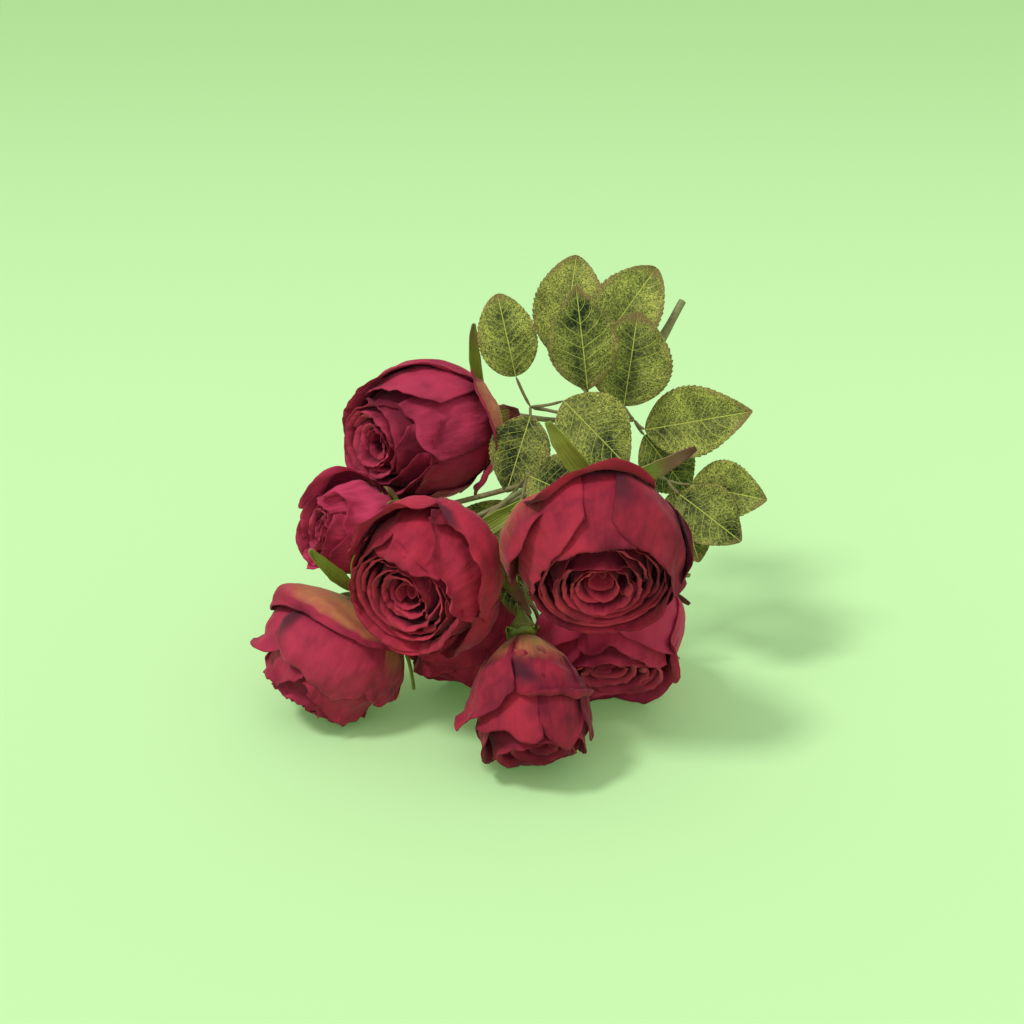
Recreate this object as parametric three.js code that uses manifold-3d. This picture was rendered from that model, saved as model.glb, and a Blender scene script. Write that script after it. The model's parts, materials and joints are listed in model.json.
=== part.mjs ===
// A bunch of eight fabric roses, lying on its flower heads as it comes to rest when it is put down.
// Units are millimetres and +Z is up. The viewer stands at -Y: the flowers face the viewer, the
// leaves stand up behind them, and the free end of the main stem points back, up and to the right.
//
// Each rose is a coiled heart inside a cup of outer petals, seated on a calyx with five sepals,
// on a branch that leaves the spine of the main stem. Leaves grow in threes on sprigs.
import * as THREE from "three";
import { mergeVertices } from "three/addons/utils/BufferGeometryUtils.js";
import Module from "manifold-3d";

const wasm = await Module();
wasm.setup();

// ---- Driving dimensions ----------------------------------------------------------------------

const SEAM = 0.35; // the hairline left between pieces that are pushed or glued together
const PETAL_WALL = 2.6; // a whorl of overlapped petals, taken as one soft wall
const HEART_CLEARANCE = 0.6; // between the coiled heart and the cup around it
const PETALS_PER_CUP = 5;
// Outline of a cup up to its widest part, as shares of its radius at shares of its height.
const CUP_OUTLINE = [[0, 0.16], [0.06, 0.5], [0.2, 0.82], [0.38, 0.97], [0.55, 1]];
const PETAL_OVERLAP = 2.0; // the step from one petal of a cup to the one it lies on
const RIM_DIP = 3.5; // how far the rim falls between two petals

const CALYX_DEPTH = 14; // from the seat of the petals down to the branch
const CALYX_RADIUS = 7;
const SEPAL_LENGTH = 34;
const SEPAL_WIDTH = 9;
const SEPAL_THICKNESS = 1.0;

const MAIN_STEM_RADIUS = 3.0;
const BRANCH_RADIUS = 1.5;
const BRANCH_REACH = 14; // how far below its calyx a branch starts to bend
const STALK_RADIUS = 0.9;
const LEAF_THICKNESS = 0.9;
const LEAF_FOLD = 0.22; // how far the two halves of a blade rise from its midrib, per half width
const LEAF_BOW = 3; // how far a midrib bows out between its ends

// ---- Layout ----------------------------------------------------------------------------------

const STEM_END = [95, 85, 190];
const STEM_BEND = [80, 66, 170];
const FORK = [52, 34, 143];
const SPINE_END = [18, -4, 112];

// centre: middle of the flower head. facing: the way its open end looks. radius and height: of
// the cup. shoulder and mouth: radius near the rim and at the rim, as shares of radius. station:
// where its branch leaves the spine, from 0 at the fork to 1 at the spine's end. openSepals: tip
// and twist in degrees of each sepal that stands away from the head. shutSepals: turn round the
// head, in degrees, of the others.
const ROSES = {
  rose_1: {
    centre: [-46, 43, 130], facing: [-0.84, -0.53, 0.08], radius: 37, height: 73,
    shoulder: 0.96, mouth: 0.75, station: 0.0,
    openSepals: [[-22, 60, 182, 60], [4, 52, 137, 0]], shutSepals: [90, 160, 230],
  },
  rose_2: {
    centre: [-87, -12, 99], facing: [-0.72, -0.67, 0.18], radius: 28, height: 46,
    shoulder: 0.93, mouth: 0.72, station: 0.8,
    openSepals: [], shutSepals: [10, 82, 154, 226, 298],
  },
  rose_3: {
    centre: [-42, -66, 97], facing: [-0.5, -0.86, -0.13], radius: 38, height: 58,
    shoulder: 0.96, mouth: 0.85, station: 0.94,
    openSepals: [[8, -34, 122, 0], [10, -76, 78, 0]], shutSepals: [110, 190, 250],
  },
  rose_4: {
    centre: [-95, -44, 36], facing: [-0.5, -0.41, -0.76], radius: 37, height: 64,
    shoulder: 0.88, mouth: 0.58, station: 0.98,
    openSepals: [[-105, -53, 103, 0], [-82, -49, 98, 0], [-56, -46, 12, 60]],
    shutSepals: [150, 220],
  },
  rose_5: {
    centre: [45, -82, 123], facing: [0, -0.94, -0.35], radius: 43, height: 62,
    shoulder: 0.96, mouth: 0.88, station: 0.65,
    openSepals: [[18, -50, 174, 0], [94, -46, 158, 0]], shutSepals: [180, 230, 290],
  },
  rose_6: {
    centre: [58, -26, 42], facing: [0.05, -0.77, -0.63], radius: 38, height: 60,
    shoulder: 0.96, mouth: 0.92, station: 0.3,
    openSepals: [[98, 4, 60, 0], [98, 0, 44, 0]], shutSepals: [100, 170, 240],
  },
  rose_7: {
    centre: [9, -96, 41], facing: [0.1, -0.67, -0.73], radius: 34, height: 64,
    shoulder: 0.94, mouth: 0.84, station: 0.88,
    openSepals: [], shutSepals: [18, 90, 162, 234, 306],
  },
  rose_8: {
    centre: [-20, -18, 36], facing: [-0.25, -0.5, -0.83], radius: 33, height: 56,
    shoulder: 0.96, mouth: 0.8, station: 0.75,
    openSepals: [], shutSepals: [36, 108, 180, 252, 324],
  },
};

// station: where the sprig leaves the spine. knot: where its stalks meet. leaves: base and tip
// of each midrib, width of the blade, and its roll about the midrib in degrees.
const SPRIGS = {
  sprig_1: {
    station: 0.12, knot: [10, 38, 146],
    leaves: {
      leaf_1: { base: [2, 40, 163], tip: [-8, 52, 206], width: 32, roll: 0 },
      leaf_2: { base: [8, 28, 145], tip: [-12, 0, 111], width: 34, roll: 0 },
      leaf_3: { base: [28, 24, 155], tip: [62, 2, 126], width: 42, roll: 0 },
    },
  },
  sprig_2: {
    station: -0.1, knot: [40, 50, 150],
    leaves: {
      leaf_4: { base: [41, 30, 159], tip: [34, 38, 216], width: 44, roll: 0 },
      leaf_5: { base: [28, 76, 160], tip: [36, 100, 212], width: 40, roll: 0 },
      leaf_6: { base: [46, 68, 166], tip: [80, 84, 210], width: 40, roll: 0 },
    },
  },
  sprig_3: {
    station: -0.02, knot: [67, 38, 138],
    leaves: {
      leaf_7: { base: [61, 34, 148], tip: [70, 44, 192], width: 42, roll: 0 },
      leaf_8: { base: [73, 36, 133], tip: [129, 14, 154], width: 39, roll: 0 },
      leaf_9: { base: [73, 40, 128], tip: [98, 44, 92], width: 32, roll: 0 },
    },
  },
  sprig_4: {
    station: 0.35, knot: [85, 22, 109],
    leaves: {
      leaf_10: { base: [98, 16, 109], tip: [137, -4, 109], width: 33, roll: 0 },
      leaf_11: { base: [91, 10, 106], tip: [123, -14, 89], width: 34, roll: 0 },
      leaf_12: { base: [89, 24, 102], tip: [103, 8, 66], width: 32, roll: 0 },
    },
  },
  sprig_5: {
    station: 0.55, knot: [8, -6, 124],
    leaves: {
      leaf_13: { base: [9, -12, 127], tip: [41, -28, 118], width: 36, roll: 0 },
      leaf_14: { base: [2, -20, 104], tip: [3, -38, 56], width: 32, roll: 0 },
      leaf_15: { base: [-4, 14, 100], tip: [-26, 34, 58], width: 32, roll: 0 },
    },
  },
};

// ---- Shape helpers ---------------------------------------------------------------------------

const vec = (p) => new THREE.Vector3(...p);
const lerp = THREE.MathUtils.lerp;
const radians = THREE.MathUtils.degToRad;
const smooth = THREE.MathUtils.smoothstep;

// A closed geometry as a solid that can be joined to others or cut.
function solid(geometry) {
  const bare = geometry.clone();
  bare.deleteAttribute("normal");
  bare.deleteAttribute("uv");
  const merged = mergeVertices(bare, 1e-3);
  const mesh = new wasm.Mesh({
    numProp: 3,
    vertProperties: merged.attributes.position.array,
    triVerts: new Uint32Array(merged.index.array),
  });
  return new wasm.Manifold(mesh);
}

// A solid back as a geometry.
function geometryOf(manifold) {
  const mesh = manifold.getMesh();
  const geometry = new THREE.BufferGeometry();
  geometry.setAttribute("position", new THREE.BufferAttribute(mesh.vertProperties, 3));
  geometry.setIndex(new THREE.BufferAttribute(mesh.triVerts, 1));
  geometry.computeVertexNormals();
  return geometry;
}

// A closed skin over rings of points: rings[i][j] joins rings[i + 1][j], and both ends are capped.
function loft(rings) {
  const count = rings[0].length;
  const positions = rings.flat().flatMap((p) => [p.x, p.y, p.z]);
  const index = [];
  for (let i = 0; i + 1 < rings.length; i++)
    for (let j = 0; j < count; j++) {
      const a = i * count + j;
      const b = i * count + ((j + 1) % count);
      index.push(a, b, b + count, a, b + count, a + count);
    }
  const last = (rings.length - 1) * count;
  for (let j = 1; j + 1 < count; j++) {
    index.push(0, j + 1, j);
    index.push(last, last + j, last + j + 1);
  }
  const geometry = new THREE.BufferGeometry();
  geometry.setAttribute("position", new THREE.Float32BufferAttribute(positions, 3));
  geometry.setIndex(index);
  geometry.computeVertexNormals();
  return geometry;
}

// A round tube along a curve.
function tube(curve, radius, steps, halfSides = 4) {
  const section = new THREE.Shape().absarc(0, 0, radius, 0, 2 * Math.PI);
  return new THREE.ExtrudeGeometry(section, { steps, extrudePath: curve, curveSegments: halfSides });
}

// A turned shape about Z, from [radius, height] pairs that start and end on the axis.
function turned(profile, segments) {
  const points = profile.map(([r, z]) => new THREE.Vector2(Math.max(r, 0), z));
  const geometry = new THREE.LatheGeometry(points, segments);
  return geometry.rotateX(Math.PI / 2);
}

function material(color, roughness) {
  return new THREE.MeshStandardMaterial({ color, roughness, metalness: 0 });
}

const petalRed = material(0xa32338, 0.75);
const heartRed = material(0x86192d, 0.78);
const sepalGreen = material(0x7f9a34, 0.6);
const stemOlive = material(0x5d6a38, 0.55);
const leafGreen = material(0x5d6e2f, 0.6);

function piece(name, geometry, finish) {
  const mesh = new THREE.Mesh(geometry, finish);
  mesh.name = name;
  return mesh;
}

// ---- Flower heads ----------------------------------------------------------------------------

// Where a head stands: its seat at the origin and its axis along +Z, before it is placed.
function headPlacement(rose) {
  const axis = vec(rose.facing).normalize();
  const turn = new THREE.Quaternion().setFromUnitVectors(new THREE.Vector3(0, 0, 1), axis);
  const seat = vec(rose.centre).addScaledVector(axis, -rose.height / 2);
  return new THREE.Matrix4().compose(seat, turn, new THREE.Vector3(1, 1, 1));
}

// Radius of a cup's outside at a share of its height.
function cupRadius(rose, share) {
  const outline = [...CUP_OUTLINE, [0.78, rose.shoulder], [1, rose.mouth]];
  const upper = Math.max(1, outline.findIndex(([s]) => s >= share));
  const [s0, r0] = outline[upper - 1];
  const [s1, r1] = outline[upper];
  return rose.radius * lerp(r0, r1, (share - s0) / (s1 - s0));
}

// The petals of a cup overlap like tiles: each stands out most in its middle, and the rim falls
// between two of them.
function overlapPetals(geometry, rose) {
  const position = geometry.attributes.position;
  const p = new THREE.Vector3();
  for (let i = 0; i < position.count; i++) {
    p.fromBufferAttribute(position, i);
    const r = Math.hypot(p.x, p.y);
    if (r < 1e-3) continue;
    const turn = (Math.atan2(p.y, p.x) / (2 * Math.PI)) * PETALS_PER_CUP;
    const across = turn - Math.floor(turn) - 0.5;
    const rise = smooth(p.z, 0, rose.height);
    const grown = 1 + (PETAL_OVERLAP * (0.5 - Math.abs(across)) * r) / rose.radius ** 2;
    const dip = RIM_DIP * 4 * across * across * rise;
    position.setXYZ(i, p.x * grown, p.y * grown, p.z - dip);
  }
  return geometry;
}

function cupOfPetals(rose) {
  const outside = [0, 0.06, 0.2, 0.38, 0.55, 0.78, 1].map((s) => [cupRadius(rose, s), s * rose.height]);
  const rim = [cupRadius(rose, 1) - PETAL_WALL, rose.height - 1];
  const inside = [0.78, 0.55, 0.38].map((s) => [cupRadius(rose, s) - PETAL_WALL, s * rose.height]);
  const floorHeight = 0.1 * rose.height + PETAL_WALL;
  const floor = [[0.72 * rose.radius, floorHeight + 3], [0.35 * rose.radius, floorHeight]];
  const profile = [[0, 0], ...outside, rim, ...inside, ...floor, [0, floorHeight]];
  return overlapPetals(turned(profile, PETALS_PER_CUP * 4), rose);
}

function coiledHeart(rose) {
  const floorHeight = 0.1 * rose.height + PETAL_WALL + SEAM;
  const gap = PETAL_WALL + HEART_CLEARANCE;
  const floor = [[0.34 * rose.radius, floorHeight], [0.68 * rose.radius, floorHeight + 3.4]];
  const side = [0.38, 0.55, 0.78].map((s) => [cupRadius(rose, s) - gap, s * rose.height]);
  const mouth = rose.radius * rose.mouth;
  const top = [[0.7 * mouth, 0.93 * rose.height], [0.3 * mouth, 0.94 * rose.height]];
  const profile = [[0, floorHeight], ...floor, ...side, ...top, [0, 0.86 * rose.height]];
  return overlapPetals(turned(profile, PETALS_PER_CUP * 4), rose);
}

// A sepal's blade along a curve: its width starts square to the head's axis and may twist.
function sepalBlade(curve, twist = 0) {
  const stations = 7;
  const out = curve.getPoint(1).setZ(0).normalize();
  const rings = [];
  for (let i = 0; i <= stations; i++) {
    const share = i / stations;
    const rib = curve.getPoint(share);
    const tangent = curve.getTangent(share);
    const across = new THREE.Vector3(-out.y, out.x, 0);
    across.applyAxisAngle(tangent, radians(twist) * smooth(share, 0, 0.5));
    const top = new THREE.Vector3().crossVectors(across, tangent);
    top.multiplyScalar(-0.5 * SEPAL_THICKNESS);
    const swell = Math.sin(Math.PI * (0.22 + 0.74 * share)) ** 0.8;
    const half = across.clone().multiplyScalar(0.5 * SEPAL_WIDTH * Math.max(swell, 0.12));
    rings.push([half.clone().negate(), top.clone().negate(), half, top].map((p) => p.add(rib)));
  }
  return loft(rings);
}

// A sepal that stands away from the head and ends at a tip in the layout.
function openSepal([x, y, z, twist], placed) {
  const end = new THREE.Vector3(x, y, z).applyMatrix4(placed.clone().invert());
  const out = end.clone().setZ(0).normalize();
  const root = out.clone().multiplyScalar(0.5 * CALYX_RADIUS).setZ(-0.35 * CALYX_DEPTH);
  const middle = out.clone().multiplyScalar(0.5 * end.length()).setZ(Math.min(-6, 0.4 * end.z));
  return sepalBlade(new THREE.QuadraticBezierCurve3(root, middle, end), twist);
}

// A sepal that lies close to the petals, a little clear of them.
function shutSepal(degrees, rose) {
  const out = new THREE.Vector3(Math.cos(radians(degrees)), Math.sin(radians(degrees)), 0);
  const root = out.clone().multiplyScalar(0.5 * CALYX_RADIUS).setZ(-0.35 * CALYX_DEPTH);
  const middle = out.clone().multiplyScalar(0.8 * rose.radius).setZ(-4);
  const rise = Math.min(0.3 * rose.height, SEPAL_LENGTH - 0.5 * rose.radius);
  const end = out.clone().multiplyScalar(rose.radius + 3).setZ(rise);
  return sepalBlade(new THREE.QuadraticBezierCurve3(root, middle, end));
}

function calyx(rose, placed) {
  const urn = [
    [0, -CALYX_DEPTH], [BRANCH_RADIUS + 0.6, -CALYX_DEPTH], [BRANCH_RADIUS + 1.4, -0.78 * CALYX_DEPTH],
    [0.85 * CALYX_RADIUS, -0.5 * CALYX_DEPTH], [CALYX_RADIUS, -0.28 * CALYX_DEPTH],
    [0.7 * CALYX_RADIUS, -SEAM], [0, -SEAM],
  ];
  const sepals = [
    ...rose.openSepals.map((sepal) => openSepal(sepal, placed)),
    ...rose.shutSepals.map((degrees) => shutSepal(degrees, rose)),
  ];
  return geometryOf(sepals.reduce((whole, s) => whole.add(solid(s)), solid(turned(urn, 10))));
}

// Presses a head flat where it lies on the table.
function pressedOnTable(geometry, placed) {
  const reach = 400;
  const air = new THREE.BoxGeometry(reach, reach, reach).translate(0, 0, reach / 2);
  const lying = solid(geometry.applyMatrix4(placed));
  return geometryOf(lying.intersect(solid(air))).applyMatrix4(placed.clone().invert());
}

// ---- Stems -----------------------------------------------------------------------------------

const STEM_PATH = new THREE.CatmullRomCurve3([STEM_END, STEM_BEND, FORK, SPINE_END].map(vec));

// Where something of a given radius leaves the side of the spine towards a point. Station 0 is
// the fork and 1 the spine's end; below 0 lies the bare stem. It leaves straight for the point,
// or bends forward along the spine first.
function leaveSpine(station, towards, radius, forward) {
  const root = STEM_PATH.getPoint((2 + station) / 3);
  const spine = STEM_PATH.getTangent((2 + station) / 3);
  const straight = towards.clone().sub(root).normalize();
  const side = straight.clone().addScaledVector(spine, -straight.dot(spine)).normalize();
  const leave = forward ? side.clone().add(spine).normalize() : straight;
  const lean = Math.sin(leave.angleTo(side)) * radius;
  return { leave, start: root.addScaledVector(side, MAIN_STEM_RADIUS + lean + SEAM) };
}

// The branch leaves the side of the spine and arrives straight under the calyx.
function branch(rose) {
  const axis = vec(rose.facing).normalize();
  const foot = vec(rose.centre).addScaledVector(axis, -rose.height / 2 - CALYX_DEPTH - SEAM);
  const { leave, start } = leaveSpine(rose.station, foot, BRANCH_RADIUS, true);
  const first = start.clone().addScaledVector(leave, foot.distanceTo(start) / 3);
  const last = foot.clone().addScaledVector(axis, -BRANCH_REACH);
  return tube(new THREE.CubicBezierCurve3(start, first, last, foot), BRANCH_RADIUS, 8);
}

function mainStem() {
  const roundedEnd = new THREE.SphereGeometry(MAIN_STEM_RADIUS, 10, 6).translate(...STEM_END);
  const stem = tube(STEM_PATH, MAIN_STEM_RADIUS, 16, 5);
  return geometryOf(solid(stem).add(solid(roundedEnd)));
}

// ---- Leaves ----------------------------------------------------------------------------------

// Half the width of a blade along its midrib, as a share of the greatest half width.
function bladeShare(share) {
  return Math.max(0.04, Math.sin(Math.PI * share ** 0.8) ** 0.75);
}

function leafBlade({ base, tip, width, roll }) {
  const start = vec(base);
  const along = vec(tip).sub(start);
  const outward = new THREE.Vector3(0, -0.9, 0.42);
  const across = new THREE.Vector3().crossVectors(along, outward).normalize();
  across.applyAxisAngle(along.clone().normalize(), radians(roll));
  const face = new THREE.Vector3().crossVectors(across, along).normalize();
  const stations = 8;
  const rings = [];
  for (let i = 0; i <= stations; i++) {
    const share = i / stations;
    const half = 0.5 * width * bladeShare(share);
    const rib = start.clone().addScaledVector(along, share);
    rib.addScaledVector(face, LEAF_BOW * Math.sin(Math.PI * share));
    const rise = face.clone().multiplyScalar(LEAF_FOLD * half);
    const left = rib.clone().addScaledVector(across, -half).add(rise);
    const right = rib.clone().addScaledVector(across, half).add(rise);
    const upper = [left, rib, right];
    const lower = [right, rib, left].map((p) => p.clone().addScaledVector(face, -LEAF_THICKNESS));
    rings.push([...upper, ...lower]);
  }
  return loft(rings);
}

function stalk(from, to) {
  return solid(tube(new THREE.LineCurve3(from, to), STALK_RADIUS, 2, 3));
}

// Three stalks meet at a knot, and a fourth carries them on the spine.
function stalks({ station, knot, leaves }) {
  const middle = vec(knot);
  const { start } = leaveSpine(station, middle, STALK_RADIUS, false);
  const bud = new THREE.SphereGeometry(1.6 * STALK_RADIUS, 8, 6).translate(...knot);
  let whole = stalk(start, middle).add(solid(bud));
  for (const { base, tip } of Object.values(leaves)) {
    const towards = vec(tip).sub(vec(base)).normalize();
    const lean = Math.sin(towards.angleTo(vec(base).sub(middle))) * STALK_RADIUS;
    whole = whole.add(stalk(middle, vec(base).addScaledVector(towards, -lean - SEAM)));
  }
  return geometryOf(whole);
}

// ---- The bunch -------------------------------------------------------------------------------

const bunch = new THREE.Group();
bunch.add(piece("main_stem", mainStem(), stemOlive));

for (const [name, rose] of Object.entries(ROSES)) {
  const placed = headPlacement(rose);
  const head = new THREE.Group();
  head.applyMatrix4(placed);
  head.add(piece(`${name}_petals`, pressedOnTable(cupOfPetals(rose), placed), petalRed));
  head.add(piece(`${name}_heart`, pressedOnTable(coiledHeart(rose), placed), heartRed));
  head.add(piece(`${name}_calyx`, calyx(rose, placed), sepalGreen));
  bunch.add(head, piece(`${name}_stem`, branch(rose), stemOlive));
}

for (const [name, sprig] of Object.entries(SPRIGS)) {
  bunch.add(piece(name, stalks(sprig), stemOlive));
  for (const [leaf, blade] of Object.entries(sprig.leaves)) {
    bunch.add(piece(leaf, leafBlade(blade), leafGreen));
  }
}

// The origin is on the table, in the middle of the bunch.
const bounds = new THREE.Box3().setFromObject(bunch, true);
const middle = bounds.getCenter(new THREE.Vector3());
bunch.position.set(-middle.x, -middle.y, -bounds.min.z);

export default bunch;
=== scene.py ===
"""A bunch of eight fabric roses lying on a table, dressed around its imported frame."""

from __future__ import annotations

import json
import logging
import math
from dataclasses import dataclass, field
from enum import Enum
from typing import Any, Sequence

import bmesh
import bpy
import numpy as np
from mathutils import Matrix, Quaternion, Vector

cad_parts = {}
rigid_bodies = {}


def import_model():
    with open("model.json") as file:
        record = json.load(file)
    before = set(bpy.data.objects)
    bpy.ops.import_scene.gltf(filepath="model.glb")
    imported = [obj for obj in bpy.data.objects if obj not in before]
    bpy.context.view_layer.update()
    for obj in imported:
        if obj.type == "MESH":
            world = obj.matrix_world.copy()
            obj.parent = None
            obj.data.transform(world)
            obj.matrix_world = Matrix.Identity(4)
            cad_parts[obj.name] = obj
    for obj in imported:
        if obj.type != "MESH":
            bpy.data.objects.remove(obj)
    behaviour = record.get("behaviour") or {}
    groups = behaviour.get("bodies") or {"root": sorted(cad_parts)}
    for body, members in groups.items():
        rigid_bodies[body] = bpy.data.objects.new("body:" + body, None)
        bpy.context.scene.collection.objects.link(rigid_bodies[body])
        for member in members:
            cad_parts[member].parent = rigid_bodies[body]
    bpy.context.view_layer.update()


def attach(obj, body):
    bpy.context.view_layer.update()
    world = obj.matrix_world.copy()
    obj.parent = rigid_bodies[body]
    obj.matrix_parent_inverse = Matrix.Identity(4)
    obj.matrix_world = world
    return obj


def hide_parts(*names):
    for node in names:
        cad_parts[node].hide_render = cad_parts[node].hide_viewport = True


LOG = logging.getLogger("bunch")
MM = 0.001
LAYOUT_SHIFT = np.array([-2.6957, 19.1753, 0.0])
TABLE_CLEARANCE = 0.12
BODY = "root"


class Slot(Enum):
    """The record's material slots."""

    PETALS = "petals"
    HEART = "heart_petals"
    SEPALS = "sepals"
    LEAVES = "leaves"
    STEM = "stem"


# ---------------------------------------------------------------- small numeric helpers


def unit(vector: Sequence[float]) -> np.ndarray:
    """A vector of length one in the same direction."""
    array = np.asarray(vector, float)
    return array / np.linalg.norm(array)


def ease(low: float, high: float, value: np.ndarray) -> np.ndarray:
    """A smooth step from 0 at low to 1 at high."""
    share = np.clip((np.asarray(value, float) - low) / (high - low), 0.0, 1.0)
    return share * share * (3.0 - 2.0 * share)


def across(values: Sequence[float], place: np.ndarray) -> np.ndarray:
    """A smooth curve through equally spaced values.

    Args:
        values: the heights of the curve, from its first end to its last.
        place: shares from 0 to 1 along it.

    Returns:
        The curve's height at each place.
    """
    knots = np.atleast_1d(np.asarray(values, float))
    if knots.size == 1:
        return np.full(np.shape(place), knots[0])
    spot = np.clip(place, 0.0, 1.0) * (knots.size - 1)
    index = np.minimum(spot.astype(int), knots.size - 2)
    part = spot - index
    ends = np.concatenate([[2 * knots[0] - knots[1]], knots, [2 * knots[-1] - knots[-2]]])
    a, b, c, d = (ends[index + step] for step in range(4))
    return 0.5 * (
        2 * b
        + (c - a) * part
        + (2 * a - 5 * b + 4 * c - d) * part**2
        + (3 * b - a - 3 * c + d) * part**3
    )


def waves(rng: np.random.Generator, x: np.ndarray, y: np.ndarray, size: float, count: int = 7) -> np.ndarray:
    """A gentle random swell over a sheet.

    Args:
        rng: the source of its directions and phases.
        x: millimetres across the sheet.
        y: millimetres along the sheet.
        size: the usual distance between two crests, in millimetres.
        count: how many waves are added up.

    Returns:
        Heights of about -1 to 1.
    """
    total = np.zeros(np.broadcast(x, y).shape)
    for _ in range(count):
        angle, phase = rng.uniform(0, math.pi), rng.uniform(0, 2 * math.pi)
        rate = 2 * math.pi / (size * rng.uniform(0.7, 1.6))
        total += np.cos(rate * (x * math.cos(angle) + y * math.sin(angle)) + phase)
    return total / math.sqrt(count) / 1.2


def bezier(points: Sequence[Sequence[float]], count: int) -> np.ndarray:
    """Points along the quadratic or cubic curve that the given points steer.

    Args:
        points: the end points and the points that steer it, in order.
        count: how many points to give.

    Returns:
        The points along the curve.
    """
    share = np.linspace(0.0, 1.0, count)[:, None]
    rows = [np.asarray(p, float)[None, :] for p in points]
    while len(rows) > 1:
        rows = [a * (1 - share) + b * share for a, b in zip(rows, rows[1:])]
    return rows[0]


def sheet_normals(points: np.ndarray) -> np.ndarray:
    """Unit normals of a grid of points, on the side where columns turn anticlockwise to rows."""
    normal = np.cross(np.gradient(points, axis=1), np.gradient(points, axis=0))
    length = np.linalg.norm(normal, axis=2, keepdims=True)
    return normal / np.maximum(length, 1e-9)


# ---------------------------------------------------------------- meshes


class Stitcher:
    """Gathers closed parts, in millimetres of the layout, into one mesh object."""

    def __init__(self) -> None:
        """Starts with nothing gathered."""
        self.points: list[np.ndarray] = []
        self.faces: list[np.ndarray] = []
        self.maps: list[np.ndarray] = []
        self.flat: list[np.ndarray] = []
        self.marks: dict[str, list[np.ndarray]] = {}
        self.count = 0

    def add_grid(
        self,
        points: np.ndarray,
        thickness: np.ndarray | float,
        uv: np.ndarray,
        marks: dict[str, np.ndarray | float],
    ) -> None:
        """Adds a thin closed sheet.

        Args:
            points: its middle surface, as rows and columns of points.
            thickness: how thick it is, in millimetres, all over or point by point.
            uv: its map coordinates, as rows and columns.
            marks: values that its material reads, all over or point by point.
        """
        rows, columns = points.shape[:2]
        half = np.broadcast_to(np.asarray(thickness, float) / 2, (rows, columns))[..., None]
        normal = sheet_normals(points)
        outer, inner = points + normal * half, points - normal * half
        index = np.arange(rows * columns).reshape(rows, columns)
        back = index + rows * columns
        front_faces = np.stack([index[:-1, :-1], index[:-1, 1:], index[1:, 1:], index[1:, :-1]], -1)
        back_faces = np.stack([back[:-1, :-1], back[1:, :-1], back[1:, 1:], back[:-1, 1:]], -1)
        rim = np.concatenate([index[0, :-1], index[:-1, -1], index[-1, :0:-1], index[:0:-1, 0]])
        after = np.roll(rim, -1)
        lift = rows * columns
        sides = np.stack([rim, rim + lift, after + lift, after], -1)
        faces = np.concatenate([front_faces.reshape(-1, 4), back_faces.reshape(-1, 4), sides])
        flat = np.zeros(len(faces), bool)
        flat[-len(sides):] = True
        both = {
            key: np.tile(np.broadcast_to(np.asarray(value, float), (rows, columns)).ravel(), 2)
            for key, value in marks.items()
        }
        self._take(
            np.concatenate([outer.reshape(-1, 3), inner.reshape(-1, 3)]),
            faces,
            np.tile(uv.reshape(-1, 2), (2, 1)),
            both,
            flat,
        )

    def add_lathe(
        self,
        profile: Sequence[tuple[float, float]],
        seat: np.ndarray,
        frame: tuple[np.ndarray, np.ndarray, np.ndarray],
        sides: int,
        ribs: float,
        marks: dict[str, np.ndarray | float],
    ) -> None:
        """Adds a closed turned body with slight ribs.

        Args:
            profile: radius and height of its outline, from one pole to the other.
            seat: the point on its axis that heights are counted from.
            frame: two directions across it and one along its axis.
            sides: how many facets it has around.
            ribs: the share of the radius by which its five ribs stand out.
            marks: values that its material reads, all over.
        """
        e1, e2, axis = frame
        angle = np.linspace(0, 2 * math.pi, sides, endpoint=False)
        swell = 1 + ribs * np.cos(5 * angle)
        rings = np.array(profile)
        inner = rings[1:-1]
        ring_points = (
            seat
            + axis * inner[:, 1][:, None, None]
            + (e1 * np.cos(angle)[:, None] + e2 * np.sin(angle)[:, None])[None]
            * (inner[:, 0][:, None] * swell[None])[..., None]
        )
        ends = [seat + axis * rings[0, 1]], [seat + axis * rings[-1, 1]]
        points = np.concatenate([ring_points.reshape(-1, 3), *ends])
        index = np.arange(len(inner) * sides).reshape(len(inner), sides)
        turned = np.roll(index, -1, axis=1)
        walls = np.stack([index[:-1], turned[:-1], turned[1:], index[1:]], -1).reshape(-1, 4)
        low, high = len(inner) * sides, len(inner) * sides + 1
        bottom = np.stack([turned[0], index[0], np.full(sides, low), np.full(sides, low)], -1)
        top = np.stack([index[-1], turned[-1], np.full(sides, high), np.full(sides, high)], -1)
        faces = np.concatenate([walls, bottom, top])
        share = np.linspace(0, 1, len(inner))[:, None]
        uv = np.stack(np.broadcast_arrays(angle[None] / (2 * math.pi), share), -1).reshape(-1, 2)
        uv = np.concatenate([uv, [[0.5, 0.0], [0.5, 1.0]]])
        both = {key: np.full(len(points), float(value)) for key, value in marks.items()}
        self._take(points, faces, uv, both, np.zeros(len(faces), bool))

    def _take(
        self,
        points: np.ndarray,
        faces: np.ndarray,
        uv: np.ndarray,
        marks: dict[str, np.ndarray],
        flat: np.ndarray,
    ) -> None:
        """Stores one part's arrays behind those already gathered.

        Args:
            points: the part's points.
            faces: its faces, by point number from 0.
            uv: its map, point by point.
            marks: the values its finish reads.
            flat: whether its faces stay flat.
        """
        self.points.append(points)
        self.faces.append(faces + self.count)
        self.maps.append(uv)
        self.flat.append(flat)
        for key in set(self.marks) | set(marks):
            before = self.marks.setdefault(key, [np.zeros(self.count)] if self.count else [])
            before.append(marks.get(key, np.zeros(len(points))))
        self.count += len(points)

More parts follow.
